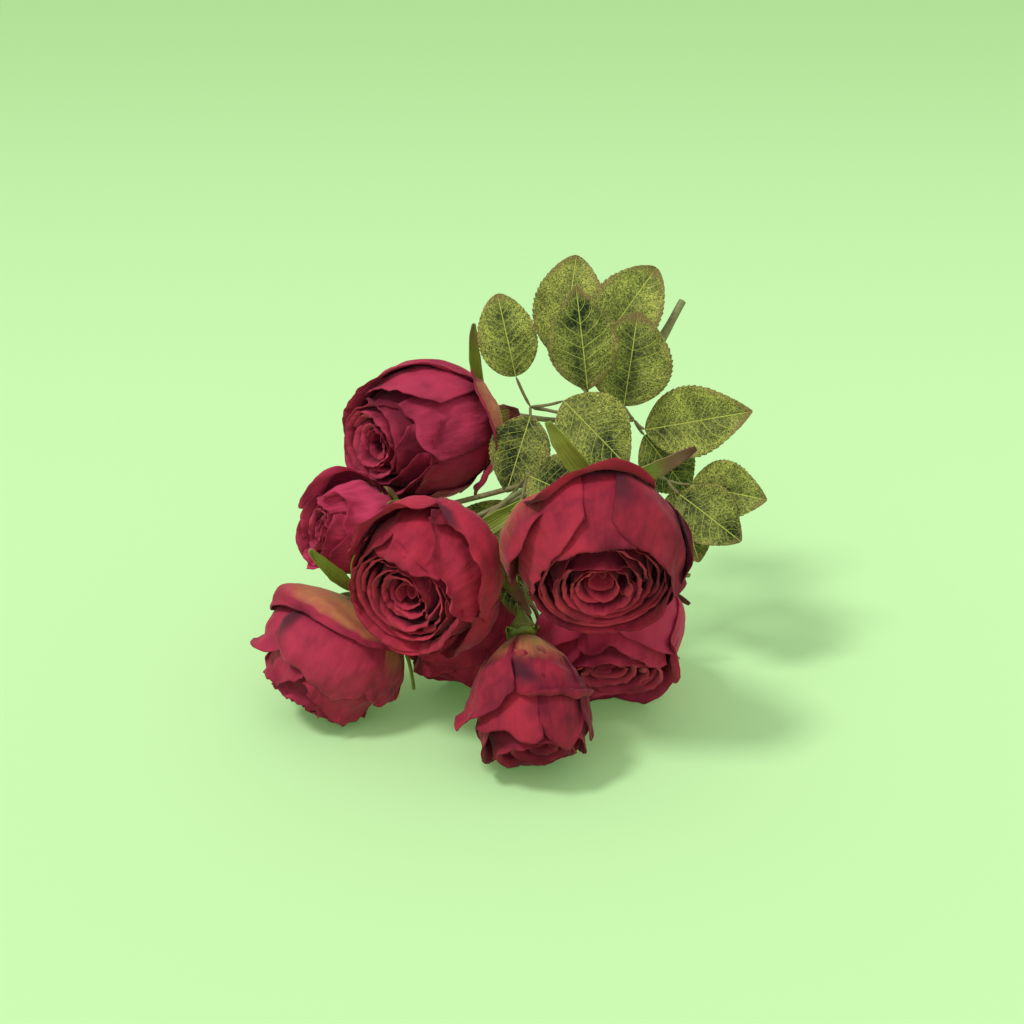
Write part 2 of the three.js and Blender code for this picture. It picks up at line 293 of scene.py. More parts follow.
    def build(self, name: str, material: bpy.types.Material) -> bpy.types.Object:
        """Makes the object.

        Args:
            name: the piece's name.
            material: its finish.

        Returns:
            A mesh object at the origin, with its place in its mesh.
        """
        points = np.concatenate(self.points) + LAYOUT_SHIFT
        points[:, 2] = np.maximum(points[:, 2], TABLE_CLEARANCE)
        faces = np.concatenate(self.faces)
        triangles = faces[:, 2] == faces[:, 3]
        sizes = np.where(triangles, 3, 4)
        corners = faces[np.arange(4)[None] < sizes[:, None]]
        mesh = bpy.data.meshes.new(name)
        mesh.vertices.add(len(points))
        mesh.vertices.foreach_set("co", (points * MM).astype(np.float32).ravel())
        mesh.loops.add(len(corners))
        mesh.loops.foreach_set("vertex_index", corners.astype(np.int32))
        mesh.polygons.add(len(faces))
        mesh.polygons.foreach_set("loop_start", np.concatenate([[0], np.cumsum(sizes)[:-1]]).astype(np.int32))
        mesh.update(calc_edges=True)
        mesh.polygons.foreach_set("use_smooth", ~np.concatenate(self.flat))
        layer = mesh.uv_layers.new(name="UVMap")
        layer.data.foreach_set("uv", np.concatenate(self.maps)[corners].astype(np.float32).ravel())
        for key, parts in self.marks.items():
            mark = mesh.attributes.new(key, "FLOAT", "POINT")
            mark.data.foreach_set("value", np.concatenate(parts).astype(np.float32))
        mesh.validate()
        mesh.materials.append(material)
        piece = bpy.data.objects.new(name, mesh)
        bpy.context.scene.collection.objects.link(piece)
        return piece


# ---------------------------------------------------------------- shader maths


class Bench:
    """Lays out the nodes of one material."""

    def __init__(self, name: str) -> None:
        """Starts an empty material with that name.

        Args:
            name: the material's name.
        """
        self.material = bpy.data.materials.new(name)
        self.material.use_nodes = True
        self.tree = self.material.node_tree
        self.tree.nodes.clear()

    def node(self, kind: str, settings: dict[str, Any] | None = None, **inputs: Any) -> bpy.types.Node:
        """Adds a node.

        Args:
            kind: the node's type.
            settings: its properties, set before its sockets.
            inputs: values or links by socket name, with _ for a space, or iN by number.

        Returns:
            The node.
        """
        made = self.tree.nodes.new(kind)
        for key, value in (settings or {}).items():
            setattr(made, key, value)
        for key, value in inputs.items():
            if key[0] == "i" and key[1:].isdigit():
                socket = made.inputs[int(key[1:])]
            else:
                socket = made.inputs[key.replace("_", " ")]
            if isinstance(value, Value):
                value = value.socket
            if isinstance(value, bpy.types.NodeSocket):
                self.tree.links.new(value, socket)
            else:
                socket.default_value = value
        return made

    def value(self, socket: bpy.types.NodeSocket) -> "Value":
        """A socket that Python sums can use."""
        return Value(self, socket)

    def mark(self, name: str) -> "Value":
        """A number that the mesh carries point by point."""
        made = self.node("ShaderNodeAttribute", {"attribute_type": "GEOMETRY", "attribute_name": name})
        return self.value(made.outputs["Fac"])

    def place(self) -> bpy.types.NodeSocket:
        """Object coordinates, in metres."""
        return self.node("ShaderNodeTexCoord").outputs["Object"]

    def map_axes(self) -> tuple["Value", "Value"]:
        """The piece's own map, across and along."""
        source = self.node("ShaderNodeUVMap", {"uv_map": "UVMap"})
        split = self.node("ShaderNodeSeparateXYZ", i0=source.outputs[0])
        return self.value(split.outputs["X"]), self.value(split.outputs["Y"])

    def vector(self, x: Any, y: Any, z: Any = 0.0) -> bpy.types.NodeSocket:
        """A vector from three numbers or sockets."""
        return self.node("ShaderNodeCombineXYZ", X=x, Y=y, Z=z).outputs[0]

    def noise(self, where: Any, scale: float, detail: float = 2.0, rough: float = 0.5) -> "Value":
        """Soft random values of about 0 to 1.

        Args:
            where: the coordinates.
            scale: how fine the pattern is.
            detail: how many finer layers it has.
            rough: how strong the finer layers are.

        Returns:
            The pattern.
        """
        made = self.node(
            "ShaderNodeTexNoise", {"noise_dimensions": "3D"},
            Vector=where, Scale=scale, Detail=detail, Roughness=rough,
        )
        return self.value(made.outputs["Fac"])

    def blend(self, first: Any, second: Any, share: Any) -> bpy.types.NodeSocket:
        """A colour between two colours.

        Args:
            first: the colour at 0.
            second: the colour at 1.
            share: the place between the two.

        Returns:
            The colour.
        """
        made = self.node("ShaderNodeMix", {"data_type": "RGBA", "clamp_factor": True})
        for socket, value in ((made.inputs[0], share), (made.inputs[6], first), (made.inputs[7], second)):
            self._set(socket, value)
        return made.outputs[2]

    def shade(self, colour: Any, factor: Any) -> bpy.types.NodeSocket:
        """A colour made lighter or darker by a factor.

        Args:
            colour: the colour.
            factor: what it is multiplied by.

        Returns:
            The colour.
        """
        made = self.node("ShaderNodeVectorMath", {"operation": "SCALE"})
        self._set(made.inputs[0], colour)
        self._set(made.inputs["Scale"], factor)
        return made.outputs[0]

    def _set(self, socket: bpy.types.NodeSocket, value: Any) -> None:
        """Links or sets one socket, whichever the value calls for.

        Args:
            socket: the socket.
            value: a number, a colour or a link.
        """
        if isinstance(value, Value):
            value = value.socket
        if isinstance(value, bpy.types.NodeSocket):
            self.tree.links.new(value, socket)
        elif isinstance(value, (tuple, list)):
            wanted = len(socket.default_value)
            socket.default_value = (tuple(value) + (1.0,))[:wanted]
        else:
            socket.default_value = value

    def bump(self, height: Any, distance: float, strength: float = 1.0) -> bpy.types.NodeSocket:
        """A normal that leans with a height, given in shares of a distance in metres."""
        made = self.node("ShaderNodeBump", Height=height, Distance=distance, Strength=strength)
        return made.outputs[0]

    def finish(self, **sockets: Any) -> bpy.types.Material:
        """Ends the material in one Principled shader.

        Args:
            sockets: the shader's values or links by socket name, with _ for a space.

        Returns:
            The material.
        """
        shader = self.tree.nodes.new("ShaderNodeBsdfPrincipled")
        for key, value in sockets.items():
            self._set(shader.inputs[key.replace("_", " ")], value)
        out = self.tree.nodes.new("ShaderNodeOutputMaterial")
        self.tree.links.new(shader.outputs[0], out.inputs[0])
        return self.material


class Value:
    """A shader socket that takes part in Python sums."""

    def __init__(self, bench: Bench, socket: bpy.types.NodeSocket) -> None:
        """Wraps one socket of a bench."""
        self.bench, self.socket = bench, socket

    def _math(self, operation: str, *others: Any, swapped: bool = False) -> "Value":
        """Adds one Math node.

        Args:
            operation: the node's operation.
            others: the terms after this one.
            swapped: whether this term comes last.

        Returns:
            The node's result.
        """
        terms = [self, *others]
        if swapped:
            terms.reverse()
        made = self.bench.node(
            "ShaderNodeMath", {"operation": operation},
            **{f"i{number}": term for number, term in enumerate(terms)},
        )
        return Value(self.bench, made.outputs[0])

    def __add__(self, other: Any) -> "Value":
        """Sum."""
        return self._math("ADD", other)

    __radd__ = __add__

    def __sub__(self, other: Any) -> "Value":
        """Difference."""
        return self._math("SUBTRACT", other)

    def __rsub__(self, other: Any) -> "Value":
        """Difference, taken from the other."""
        return self._math("SUBTRACT", other, swapped=True)

    def __mul__(self, other: Any) -> "Value":
        """Product."""
        return self._math("MULTIPLY", other)

    __rmul__ = __mul__

    def __truediv__(self, other: Any) -> "Value":
        """Quotient."""
        return self._math("DIVIDE", other)

    def __rtruediv__(self, other: Any) -> "Value":
        """Quotient, of the other by this."""
        return self._math("DIVIDE", other, swapped=True)

    def __pow__(self, other: Any) -> "Value":
        """Power."""
        return self._math("POWER", other)

    def __rpow__(self, other: Any) -> "Value":
        """Power, of the other to this."""
        return self._math("POWER", other, swapped=True)

    def __abs__(self) -> "Value":
        """Size without sign."""
        return self._math("ABSOLUTE")

    def sine(self) -> "Value":
        """Sine."""
        return self._math("SINE")

    def fraction(self) -> "Value":
        """The part behind the point."""
        return self._math("FRACT")

    def least(self, other: Any) -> "Value":
        """The smaller of the two."""
        return self._math("MINIMUM", other)

    def most(self, other: Any) -> "Value":
        """The larger of the two."""
        return self._math("MAXIMUM", other)

    def step(self, low: float, high: float) -> "Value":
        """A smooth step from 0 at low to 1 at high, or down where high is the smaller.

        Args:
            low: where it is 0.
            high: where it is 1.

        Returns:
            The step.
        """
        made = self.bench.node(
            "ShaderNodeMapRange", {"interpolation_type": "SMOOTHSTEP"}, Value=self,
            From_Min=min(low, high), From_Max=max(low, high),
            To_Min=float(low > high), To_Max=float(low <= high),
        )
        return Value(self.bench, made.outputs[0])


def linear(red: float, green: float, blue: float) -> tuple[float, float, float]:
    """A screen colour of 0 to 255 as linear light."""
    parts = (np.array([red, green, blue]) / 255.0).tolist()
    return tuple(c / 12.92 if c <= 0.04045 else ((c + 0.055) / 1.055) ** 2.4 for c in parts)


# ---------------------------------------------------------------- finishes


@dataclass(frozen=True)
class PetalCloth:
    """Dyed woven cloth: crimson, peach and olive where it meets the calyx, dark at its cut edge, with painted light
    and shade from its tone mark and painted shade deep between heart petals.
    """

    name: str
    warm: tuple[float, float, float] = linear(190, 47, 65)
    cool: tuple[float, float, float] = linear(186, 57, 90)
    deep: tuple[float, float, float] = linear(108, 27, 46)
    peach: tuple[float, float, float] = linear(206, 142, 88)
    olive: tuple[float, float, float] = linear(164, 146, 80)
    smudge: tuple[float, float, float] = linear(94, 38, 50)
    cut: tuple[float, float, float] = linear(92, 16, 30)
    # Painted shade: how strongly the cloth darkens deeper between petals, away from their rims.
    depth: float = 0.0

    def make(self) -> bpy.types.Material:
        """Lays out the cloth's nodes and returns the material."""
        b = Bench(self.name)
        where = b.place()
        u, v = b.map_axes()
        tone, blush, seed = b.mark("tone"), b.mark("blush"), b.mark("seed")
        clouds = b.noise(where, 62.0, 3.0, 0.55)
        streaks = b.noise(b.vector(u * 22.0 + seed * 40.0, v * 2.6, seed * 9.0), 1.0, 3.0, 0.6)
        dye_and_painted_light = b.blend(self.warm, self.cool, blush + (clouds - 0.5) * 0.5)
        # Mottled darker dye, plus painted light and shade from the tone mark, which lightens or darkens whole petals
        # and heads for how light falls on them.
        mottle_and_painted_shade = ((clouds - 0.5) * 1.3 + (streaks - 0.5) * 0.35 + 0.26 - tone * 0.8).step(0.0, 1.0)
        dye_and_painted_light = b.blend(dye_and_painted_light, self.deep, mottle_and_painted_shade)
        # Painted shade, deeper in the gaps between petals, away from their rims.
        dye_and_painted_light = b.blend(dye_and_painted_light, self.deep, b.mark("edge").step(2.0, 11.0) * self.depth)
        patches = b.noise(where, 40.0, 2.0, 0.5)
        dye_and_painted_light = b.blend(dye_and_painted_light, self.deep, (b.mark("edge").step(11.0, 0.0) * (patches * 4.0 - 1.75)).step(0.0, 1.3) * 0.75)
        fade = b.mark("peach") + (streaks - 0.5) * 0.6 + (clouds - 0.5) * 0.6 - b.mark("edge").step(6.0, 0.0) * 0.7
        dye_and_painted_light = b.blend(dye_and_painted_light, self.peach, fade.step(0.25, 1.15) * 0.9)
        dye_and_painted_light = b.blend(dye_and_painted_light, self.olive, (fade - v * 0.6).step(0.7, 1.1))
        dust = b.mark("smudge") + (clouds - 0.5) * 0.35
        dye_and_painted_light = b.blend(dye_and_painted_light, self.smudge, dust.step(0.15, 1.1))
        frayed = b.mark("edge") + (b.noise(where, 900.0, 2.0) - 0.5) * 0.7
        dye_and_painted_light = b.blend(dye_and_painted_light, self.cut, frayed.step(0.5, 0.0) * 0.5)
        threads = b.noise(where, 2600.0, 1.0)
        creases = b.noise(b.vector(u * 9.0 + seed * 20.0, v * 3.0, seed * 7.0), 1.0, 4.0, 0.6)
        folds = b.noise(b.vector(u * 4.5 + seed * 30.0, v * 1.8, seed * 5.0), 1.0, 2.0, 0.5)
        normal = b.bump(threads * 0.05 + creases * 1.2 + folds * 2.4, 0.0009)
        return b.finish(
            # The tone mark also lightens or darkens the colour here: painted light and shade, with a little random
            # tone.
            Base_Color=b.shade(dye_and_painted_light, 0.94 + (threads - 0.5) * 0.18 + tone * 0.25),
            Roughness=0.78 + (clouds - 0.5) * 0.2,
            Sheen_Weight=0.16,
            Sheen_Roughness=0.42,
            Sheen_Tint=(1.0, 0.55, 0.64),
            Specular_IOR_Level=0.14,
            Normal=normal,
        )


@dataclass(frozen=True)
class LeafPrint:
    """Printed cloth leaf: dark green with a yellow-green net of veins and a brown margin."""

    name: str = "leaf_print"
    dark: tuple[float, float, float] = linear(42, 54, 34)
    mid: tuple[float, float, float] = linear(86, 98, 60)
    light: tuple[float, float, float] = linear(216, 224, 102)
    margin: tuple[float, float, float] = linear(136, 108, 76)
    back: tuple[float, float, float] = linear(120, 132, 84)
    pairs: float = 7.0

    def make(self) -> bpy.types.Material:
        """Lays out the leaf's nodes and returns the material."""
        b = Bench(self.name)
        where = b.place()
        u, v = b.map_axes()
        tone, seed = b.mark("tone"), b.mark("seed")
        side = abs(u - 0.5) * 2.0
        wobble = (b.noise(where, 120.0, 1.0) - 0.5) * 0.35
        rank = (v - side * 0.20 - side * side * 0.05) * (self.pairs * 1.25) + wobble + seed * 3.0
        lateral = abs(rank.fraction() - 0.5)
        half = b.value(b.mark("half").socket)
        vein = lateral.step(0.05, 0.012) * side.step(0.98, 0.6)
        rib = (side * half).step(0.45, 0.12)
        net, web = self._cells(b, where, 900.0, 0.22, 0.06), self._cells(b, where, 330.0, 0.08, 0.02)
        clouds = b.noise(where, 70.0, 3.0)
        speck = b.noise(where, 950.0, 2.0, 0.6).step(0.5, 0.62)
        base = b.blend(self.dark, self.mid, (clouds - 0.5) * 2.2 + 0.40 + tone * 0.8)
        bright = (clouds - 0.5) * 2.2 + 0.24 + side * 0.7 + tone * 0.9
        print_share = (net * 0.4 + speck * 0.46) * bright + web * 0.2
        base = b.blend(base, self.light, print_share.most(0.0).least(0.85))
        base = b.blend(base, self.light, (vein * 0.72).most(rib * 0.85))
        rusty = (b.mark("edge") * -0.13 + 0.86 + (clouds - 0.5) * 1.8 + b.mark("rust")).step(0.42, 1.35)
        base = b.blend(base, self.margin, rusty * 0.72)
        base = b.blend(base, self.back, b.mark("under") * 0.75)
        height = vein.most(rib) * -0.6 + net * 0.16 + web * 0.2
        return b.finish(
            Base_Color=base,
            Roughness=0.62 + (clouds - 0.5) * 0.2,
            Specular_IOR_Level=0.1,
            Normal=b.bump(height, 0.0005),
        )

    @staticmethod
    def _cells(b: Bench, where: Any, scale: float, wide: float, narrow: float) -> Value:
        """A net of lines between random cells."""
        made = b.node("ShaderNodeTexVoronoi", {"feature": "DISTANCE_TO_EDGE"}, Vector=where, Scale=scale)
        return b.value(made.outputs["Distance"]).step(wide, narrow)


@dataclass(frozen=True)
class SepalPlastic:
    """Soft moulded plastic: lime green with stripes along it, reddish towards its tips."""

    name: str = "sepal_plastic"
    lime: tuple[float, float, float] = linear(150, 168, 60)
    dark: tuple[float, float, float] = linear(98, 112, 48)
    red: tuple[float, float, float] = linear(136, 84, 72)
    maroon: tuple[float, float, float] = linear(92, 30, 38)

    def make(self) -> bpy.types.Material:
        """Lays out the plastic's nodes and returns the material."""
        b = Bench(self.name)
        where = b.place()
        u, v = b.map_axes()
        seed = b.mark("seed")
        stripes = b.noise(b.vector(u * 11.0 + seed * 30.0, v * 1.6, seed * 5.0), 1.0, 3.0, 0.6)
        clouds = b.noise(where, 110.0, 3.0)
        skin = b.blend(self.lime, self.dark, ((stripes - 0.5) * 1.0 + (clouds - 0.5) * 0.9 + 0.28 - b.mark("tone")))
        flush = b.mark("flush") + (clouds - 0.5) * 0.7 + (stripes - 0.5) * 0.4
        skin = b.blend(skin, self.red, flush.step(0.25, 0.85) * 0.85)
        skin = b.blend(skin, self.maroon, flush.step(0.95, 1.35) * 0.9)
        grooves = (u * 40.0).sine() * 0.2 + stripes
        return b.finish(
            Base_Color=skin,
            Roughness=0.5 + (clouds - 0.5) * 0.25,
            Specular_IOR_Level=0.42,
            Normal=b.bump(grooves, 0.0004),
        )


@dataclass(frozen=True)
class StemPlastic:
    """Moulded plastic stem: olive, mottled brown, with faint lengthwise grain."""

    name: str = "stem_plastic"
    green: tuple[float, float, float] = linear(142, 144, 88)
    brown: tuple[float, float, float] = linear(128, 104, 74)
    dark: tuple[float, float, float] = linear(66, 66, 42)

    def make(self) -> bpy.types.Material:
        """Lays out the stem's nodes and returns the material."""
        b = Bench(self.name)
        where = b.place()
        broad = b.noise(where, 42.0, 3.0)
        fine = b.noise(where, 420.0, 3.0, 0.6)
        skin = b.blend(self.green, self.brown, (broad - 0.42) * 3.0 + b.mark("rust"))
        skin = b.blend(skin, self.dark, (fine - 0.42) * 1.5)
        return b.finish(
            Base_Color=skin,
            Roughness=0.55 + (fine - 0.5) * 0.3,
            Specular_IOR_Level=0.4,
            Normal=b.bump(fine + broad * 0.6, 0.0005),
        )


@dataclass(frozen=True)
class TablePaint:
    """A pale table top, darker far away as painted light falloff, with a faint glow of painted green bounce light
    that lifts its shadows.
    """

    name: str = "table_paint"
    near: tuple[float, float, float] = linear(200, 238, 176)
    far: tuple[float, float, float] = linear(168, 206, 144)
    glow: tuple[float, float, float] = linear(56, 95, 42)

    def make(self) -> bpy.types.Material:
        """Lays out the table's nodes and returns the material."""
        b = Bench(self.name)
        split = b.node("ShaderNodeSeparateXYZ", i0=b.place())
        # Painted light falloff: the table darkens towards the back.
        depth = b.value(split.outputs["Y"]).step(0.1, 1.9)
        return b.finish(
            Base_Color=b.blend(self.near, self.far, depth),
            Roughness=0.85,
            Specular_IOR_Level=0.0,
            # Painted light: a faint green glow that lifts the shadows on the table like bounce light.
            Emission_Color=(*self.glow, 1.0),
            Emission_Strength=1.0,
        )


# ---------------------------------------------------------------- flower heads


@dataclass(frozen=True)
class Petal:
    """One petal, laid on the cup of its head.

    Angles turn around the head's axis from its right side. Heights and layers are shares of
    the cup's height and radius. A row of values runs from the petal's first side to its last.
    """

    start: float
    end: float
    rim: tuple[float, ...] = (0.9, 0.98, 1.0, 0.98, 0.9)
    layer: tuple[float, ...] = (0.98,)
    lift: tuple[float, ...] = (0.0,)
    curl: tuple[float, ...] = (12.0,)
    roll: float = 0.78
    taper: float = 0.12
    foot: float = 0.0
    ruffle: float = 0.6
    crumple: float = 0.45
    peach: float | tuple[float, ...] = 0.22
    slide: tuple[float, float] = (0.0, 0.0)
    belly: tuple[float, ...] = (0.0,)
    # Painted light and shade: lightens or darkens this petal for how light falls on it.
    tone: float = 0.0
    smudge: tuple[float, ...] = ()


PETAL_ROWS = 30
PETAL_COLUMNS = 36
HEART_ROWS = 22
HEART_LIMIT = 0.865
HEART_WANDER = 1.7
HEART_COLUMNS = 22
CLOTH_THICKNESS = 0.34
CUP_SHARES = (0.0, 0.06, 0.2, 0.38, 0.55, 0.78, 1.0)
CUP_RADII = (0.16, 0.5, 0.82, 0.97, 1.0)
OVER_THE_RIM = 1.35


@dataclass
class RoseHead:
    """A flower head: its cup, its petals, its heart and the calyx that holds it."""

    number: int
    centre: tuple[float, float, float]
    facing: tuple[float, float, float]
    radius: float
    height: float
    shoulder: float
    mouth: float
    station: float
    outer: tuple[Petal, ...]
    whorls: tuple[tuple[float, int, float], ...] = (
        (0.82, 4, 1.0), (0.64, 3, 0.99), (0.52, 3, 0.98), (0.40, 3, 0.97), (0.29, 2, 0.95),
    )
    heart_rise: float = 0.98
    squeeze: tuple[float, float] = (0.0, 1.0)
    lean: tuple[float, float] = (0.0, 0.0)
    cup: tuple[float, ...] = CUP_RADII
    shut_reach: float = 1.0
    blush: float = 0.3
    # Painted light and shade: lightens a whole head that lies in shade, such as roses 2 and 6, or darkens a lit one;
    # the heart's own tone does the same for its inner petals.
    tone: float = 0.0
    heart_tone: float = 0.0
    heart_slide: tuple[float, float] = (0.0, 0.0)
    open_sepals: tuple[tuple[float, ...], ...] = ()
    shut_sepals: tuple[float, ...] = ()
    sepal_flush: tuple[float, ...] = (0.3,)
    axis: np.ndarray = field(init=False)
    seat: np.ndarray = field(init=False)
    right: np.ndarray = field(init=False)
    rise: np.ndarray = field(init=False)

    def __post_init__(self) -> None:
        """Works out the head's own directions and where its petals are seated."""
        self.axis = unit(self.facing)
        self.seat = np.array(self.centre) - self.axis * self.height / 2
        self.right = unit(np.array([1.0, 0, 0]) - self.axis[0] * self.axis)
        self.rise = np.cross(self.axis, self.right)
        share = np.linspace(0, OVER_THE_RIM, 271)
        knots = CUP_SHARES + (OVER_THE_RIM,)
        beyond = self.mouth - (self.shoulder - self.mouth) * (OVER_THE_RIM - 1) / 0.22
        radii = self.cup + (self.shoulder, self.mouth, max(beyond, 0.3))
        plain = np.interp(share, knots, radii)
        kernel = np.hanning(25)
        padded = np.concatenate([np.full(12, plain[0]), plain, np.full(12, plain[-1])])
        soft = np.convolve(padded, kernel / kernel.sum(), "valid")
        keep = ease(0.0, 0.08, share)
        self._share = share
        self._reach = plain * (1 - keep) + soft * keep

    def reach(self, share: np.ndarray) -> np.ndarray:
        """The cup's radius, in millimetres, at a share of its height."""
        return self.radius * np.interp(share, self._share, self._reach)

    def drape(
        self, petal: Petal, rng: np.random.Generator, rows: int, columns: int
    ) -> tuple[np.ndarray, dict[str, Any]]:
        """Lays one petal on the cup.

        Args:
            petal: its place and shape.
            rng: the source of its ripples and creases.
            rows: points along it.
            columns: points across it.

        Returns:
            Its middle surface as a grid of points, and the values that its finish reads.
        """
        u = np.linspace(0, 1, columns)[None, :]
        t = np.linspace(0, 1, rows)[:, None]
        width = math.radians(petal.end - petal.start) * self.radius
        rim = across(petal.rim, u)
        rim = rim + petal.ruffle / self.height * 0.8 * waves(rng, u * width, u * 0, 13.0, 5)
        rim = rim + petal.ruffle / self.height * 0.28 * waves(rng, u * width, u * 0, 4.5, 4)
        rim = rim + 0.08 / self.height * waves(rng, u * width, u * 0, 1.6, 4)
        share = petal.foot + (rim - petal.foot) * t
        radius = self.reach(share) * across(petal.layer, u)
        radius = radius + across(petal.lift, u) * ease(0.04, 0.6, t)
        radius = radius + across(petal.belly, u) * np.sin(np.pi * t**0.62)
        height = share * self.height
        step_r, step_h = np.diff(radius, axis=0), np.diff(height, axis=0)
        turn = np.radians(across(petal.curl, u)) * ease(petal.roll, 1.0, (t[1:] + t[:-1]) / 2) ** 0.8
        along_r = step_r * np.cos(turn) + step_h * np.sin(turn)
        along_h = step_h * np.cos(turn) - step_r * np.sin(turn)
        radius = np.concatenate([radius[:1], radius[:1] + np.cumsum(along_r, axis=0)])
        height = np.concatenate([height[:1], height[:1] + np.cumsum(along_h, axis=0)])
        middle, spread = (petal.start + petal.end) / 2, (petal.end - petal.start)
        narrow = 1 - petal.taper * (1 - t) ** 1.5
        angle = np.radians(middle + (u - 0.5) * spread * narrow)
        drift = math.radians(1.2) * waves(rng, u * width, t * self.height, 30.0, 4) * t
        angle = angle + drift
        points = self._placed(angle, radius, height, share, petal.slide)
        x, y = u * width, t * self.height * 1.3
        swell = waves(rng, x, y, 19.0, 6) * petal.crumple
        swell += waves(rng, x, y * 0.25, 5.5, 5) * petal.crumple * 0.28
        swell += waves(rng, x, y * 0.6, 10.0, 4) * petal.ruffle * t**5
        points = points + sheet_normals(points) * (swell * ease(0.02, 0.3, t))[..., None]
        side = np.minimum(u, 1 - u) * width * narrow + 0.15
        end = (1 - t) * rim * self.height
        peach = np.maximum(across(petal.peach, u), 0.01)
        marks: dict[str, Any] = {
            "tone": self.tone + petal.tone + rng.uniform(-0.06, 0.06),
            "blush": self.blush + rng.uniform(-0.1, 0.1),
            "seed": rng.uniform(0, 1),
            "peach": ease(peach * 1.9, peach * 0.15, share) * ease(0.0, 8.0, end + 2.0) - 2.0 * (peach < 0.02),
            "edge": np.minimum(side, end),
            "smudge": 0.0,
        }
        if petal.smudge:
            place_u, place_t, size, strength, *stretch = petal.smudge
            gap = np.hypot((u - place_u) * width, (t - place_t) * self.height / (stretch or [1.0])[0]) / size
            marks["smudge"] = strength * np.exp(-(gap**2))
        return points, marks

    def _placed(
        self, angle: np.ndarray, radius: np.ndarray, height: np.ndarray, share: np.ndarray,
        slide: tuple[float, float] = (0.0, 0.0),
    ) -> np.ndarray:
        """Turns places around the head into points of the layout.

        Args:
            angle: radians around the axis.
            radius: millimetres from the axis.
            height: millimetres along the axis.
            share: the height as a share of the head's own.
            slide: millimetres to the right and up by which the top leans over.

        Returns:
            The points, drawn in towards the head's squeezed direction near the mouth.
        """
        sideways, upward = radius * np.cos(angle), radius * np.sin(angle)
        turn, keep = math.radians(self.squeeze[0]), self.squeeze[1]
        across_slit = sideways * math.cos(turn) + upward * math.sin(turn)
        pull = across_slit * (1 - keep) * ease(0.25, 1.0, share)
        lean = ease(0.3, 1.0, share)
        sideways = sideways - pull * math.cos(turn) + (slide[0] + self.lean[0]) * lean
        upward = upward - pull * math.sin(turn) + (slide[1] + self.lean[1]) * lean
        return (
            self.seat + self.axis * height[..., None]
            + self.right * sideways[..., None] + self.rise * upward[..., None]
        )

    def petals(self, material: bpy.types.Material) -> bpy.types.Object:
        """The outer petals as one piece.

        Args:
            material: the finish.

        Returns:
            The piece.
        """
        rng = np.random.default_rng(100 + self.number)
        stitcher = Stitcher()
        for petal in self.outer:
            self._stitch(stitcher, petal, rng, PETAL_ROWS, PETAL_COLUMNS)
        return stitcher.build(f"rose_{self.number}_outer_petals", material)

    def heart(self, material: bpy.types.Material) -> bpy.types.Object:
        """The inner petals, wound ever tighter towards the middle, as one piece.

        Args:
            material: the finish.

        Returns:
            The piece.
        """
        rng = np.random.default_rng(200 + self.number)
        stitcher = Stitcher()
        turn = rng.uniform(0, 360)
        for layer, count, rise in self.whorls:
            turn += rng.uniform(25, 50)
            for number in range(count):
                middle = turn + number * 360 / count + rng.uniform(-9, 9)
                spread = 360 / count * rng.uniform(1.35, 1.7)
                top = self.heart_rise * rise + rng.uniform(-0.035, 0.03)
                petal = Petal(
                    middle - spread / 2, middle + spread / 2,
                    rim=(top - 0.14, top - 0.03, top, top + 0.01, top, top - 0.01, top - 0.03, top - 0.12),
                    layer=tuple(min(layer * part, HEART_LIMIT) for part in (0.85, 0.98, 1.02, 1.15)),
                    curl=tuple(rng.uniform(25, 95, 4)),
                    roll=rng.uniform(0.82, 0.9),
                    foot=0.42, belly=(-1.0,), ruffle=0.8, crumple=0.45, peach=0.0,
                    tone=self.heart_tone + rng.uniform(-0.08, 0.1),
                    slide=tuple(
                        np.array(self.heart_slide) * (1 - layer)
                        + rng.uniform(-HEART_WANDER, HEART_WANDER, 2) * min(1.0, 2.1 - 1.8 * layer)
                    ),
                )
                self._stitch(stitcher, petal, rng, HEART_ROWS, HEART_COLUMNS)
        self._spiral(stitcher, rng)
        return stitcher.build(f"rose_{self.number}_inner_petals", material)

    def _stitch(self, stitcher: Stitcher, petal: Petal, rng: np.random.Generator, rows: int, columns: int) -> None:
        """Drapes a petal and adds it."""
        points, marks = self.drape(petal, rng, rows, columns)
        uv = np.stack(np.broadcast_arrays(np.linspace(0, 1, columns)[None], np.linspace(0, 1, rows)[:, None]), -1)
        stitcher.add_grid(points, CLOTH_THICKNESS, uv, marks)

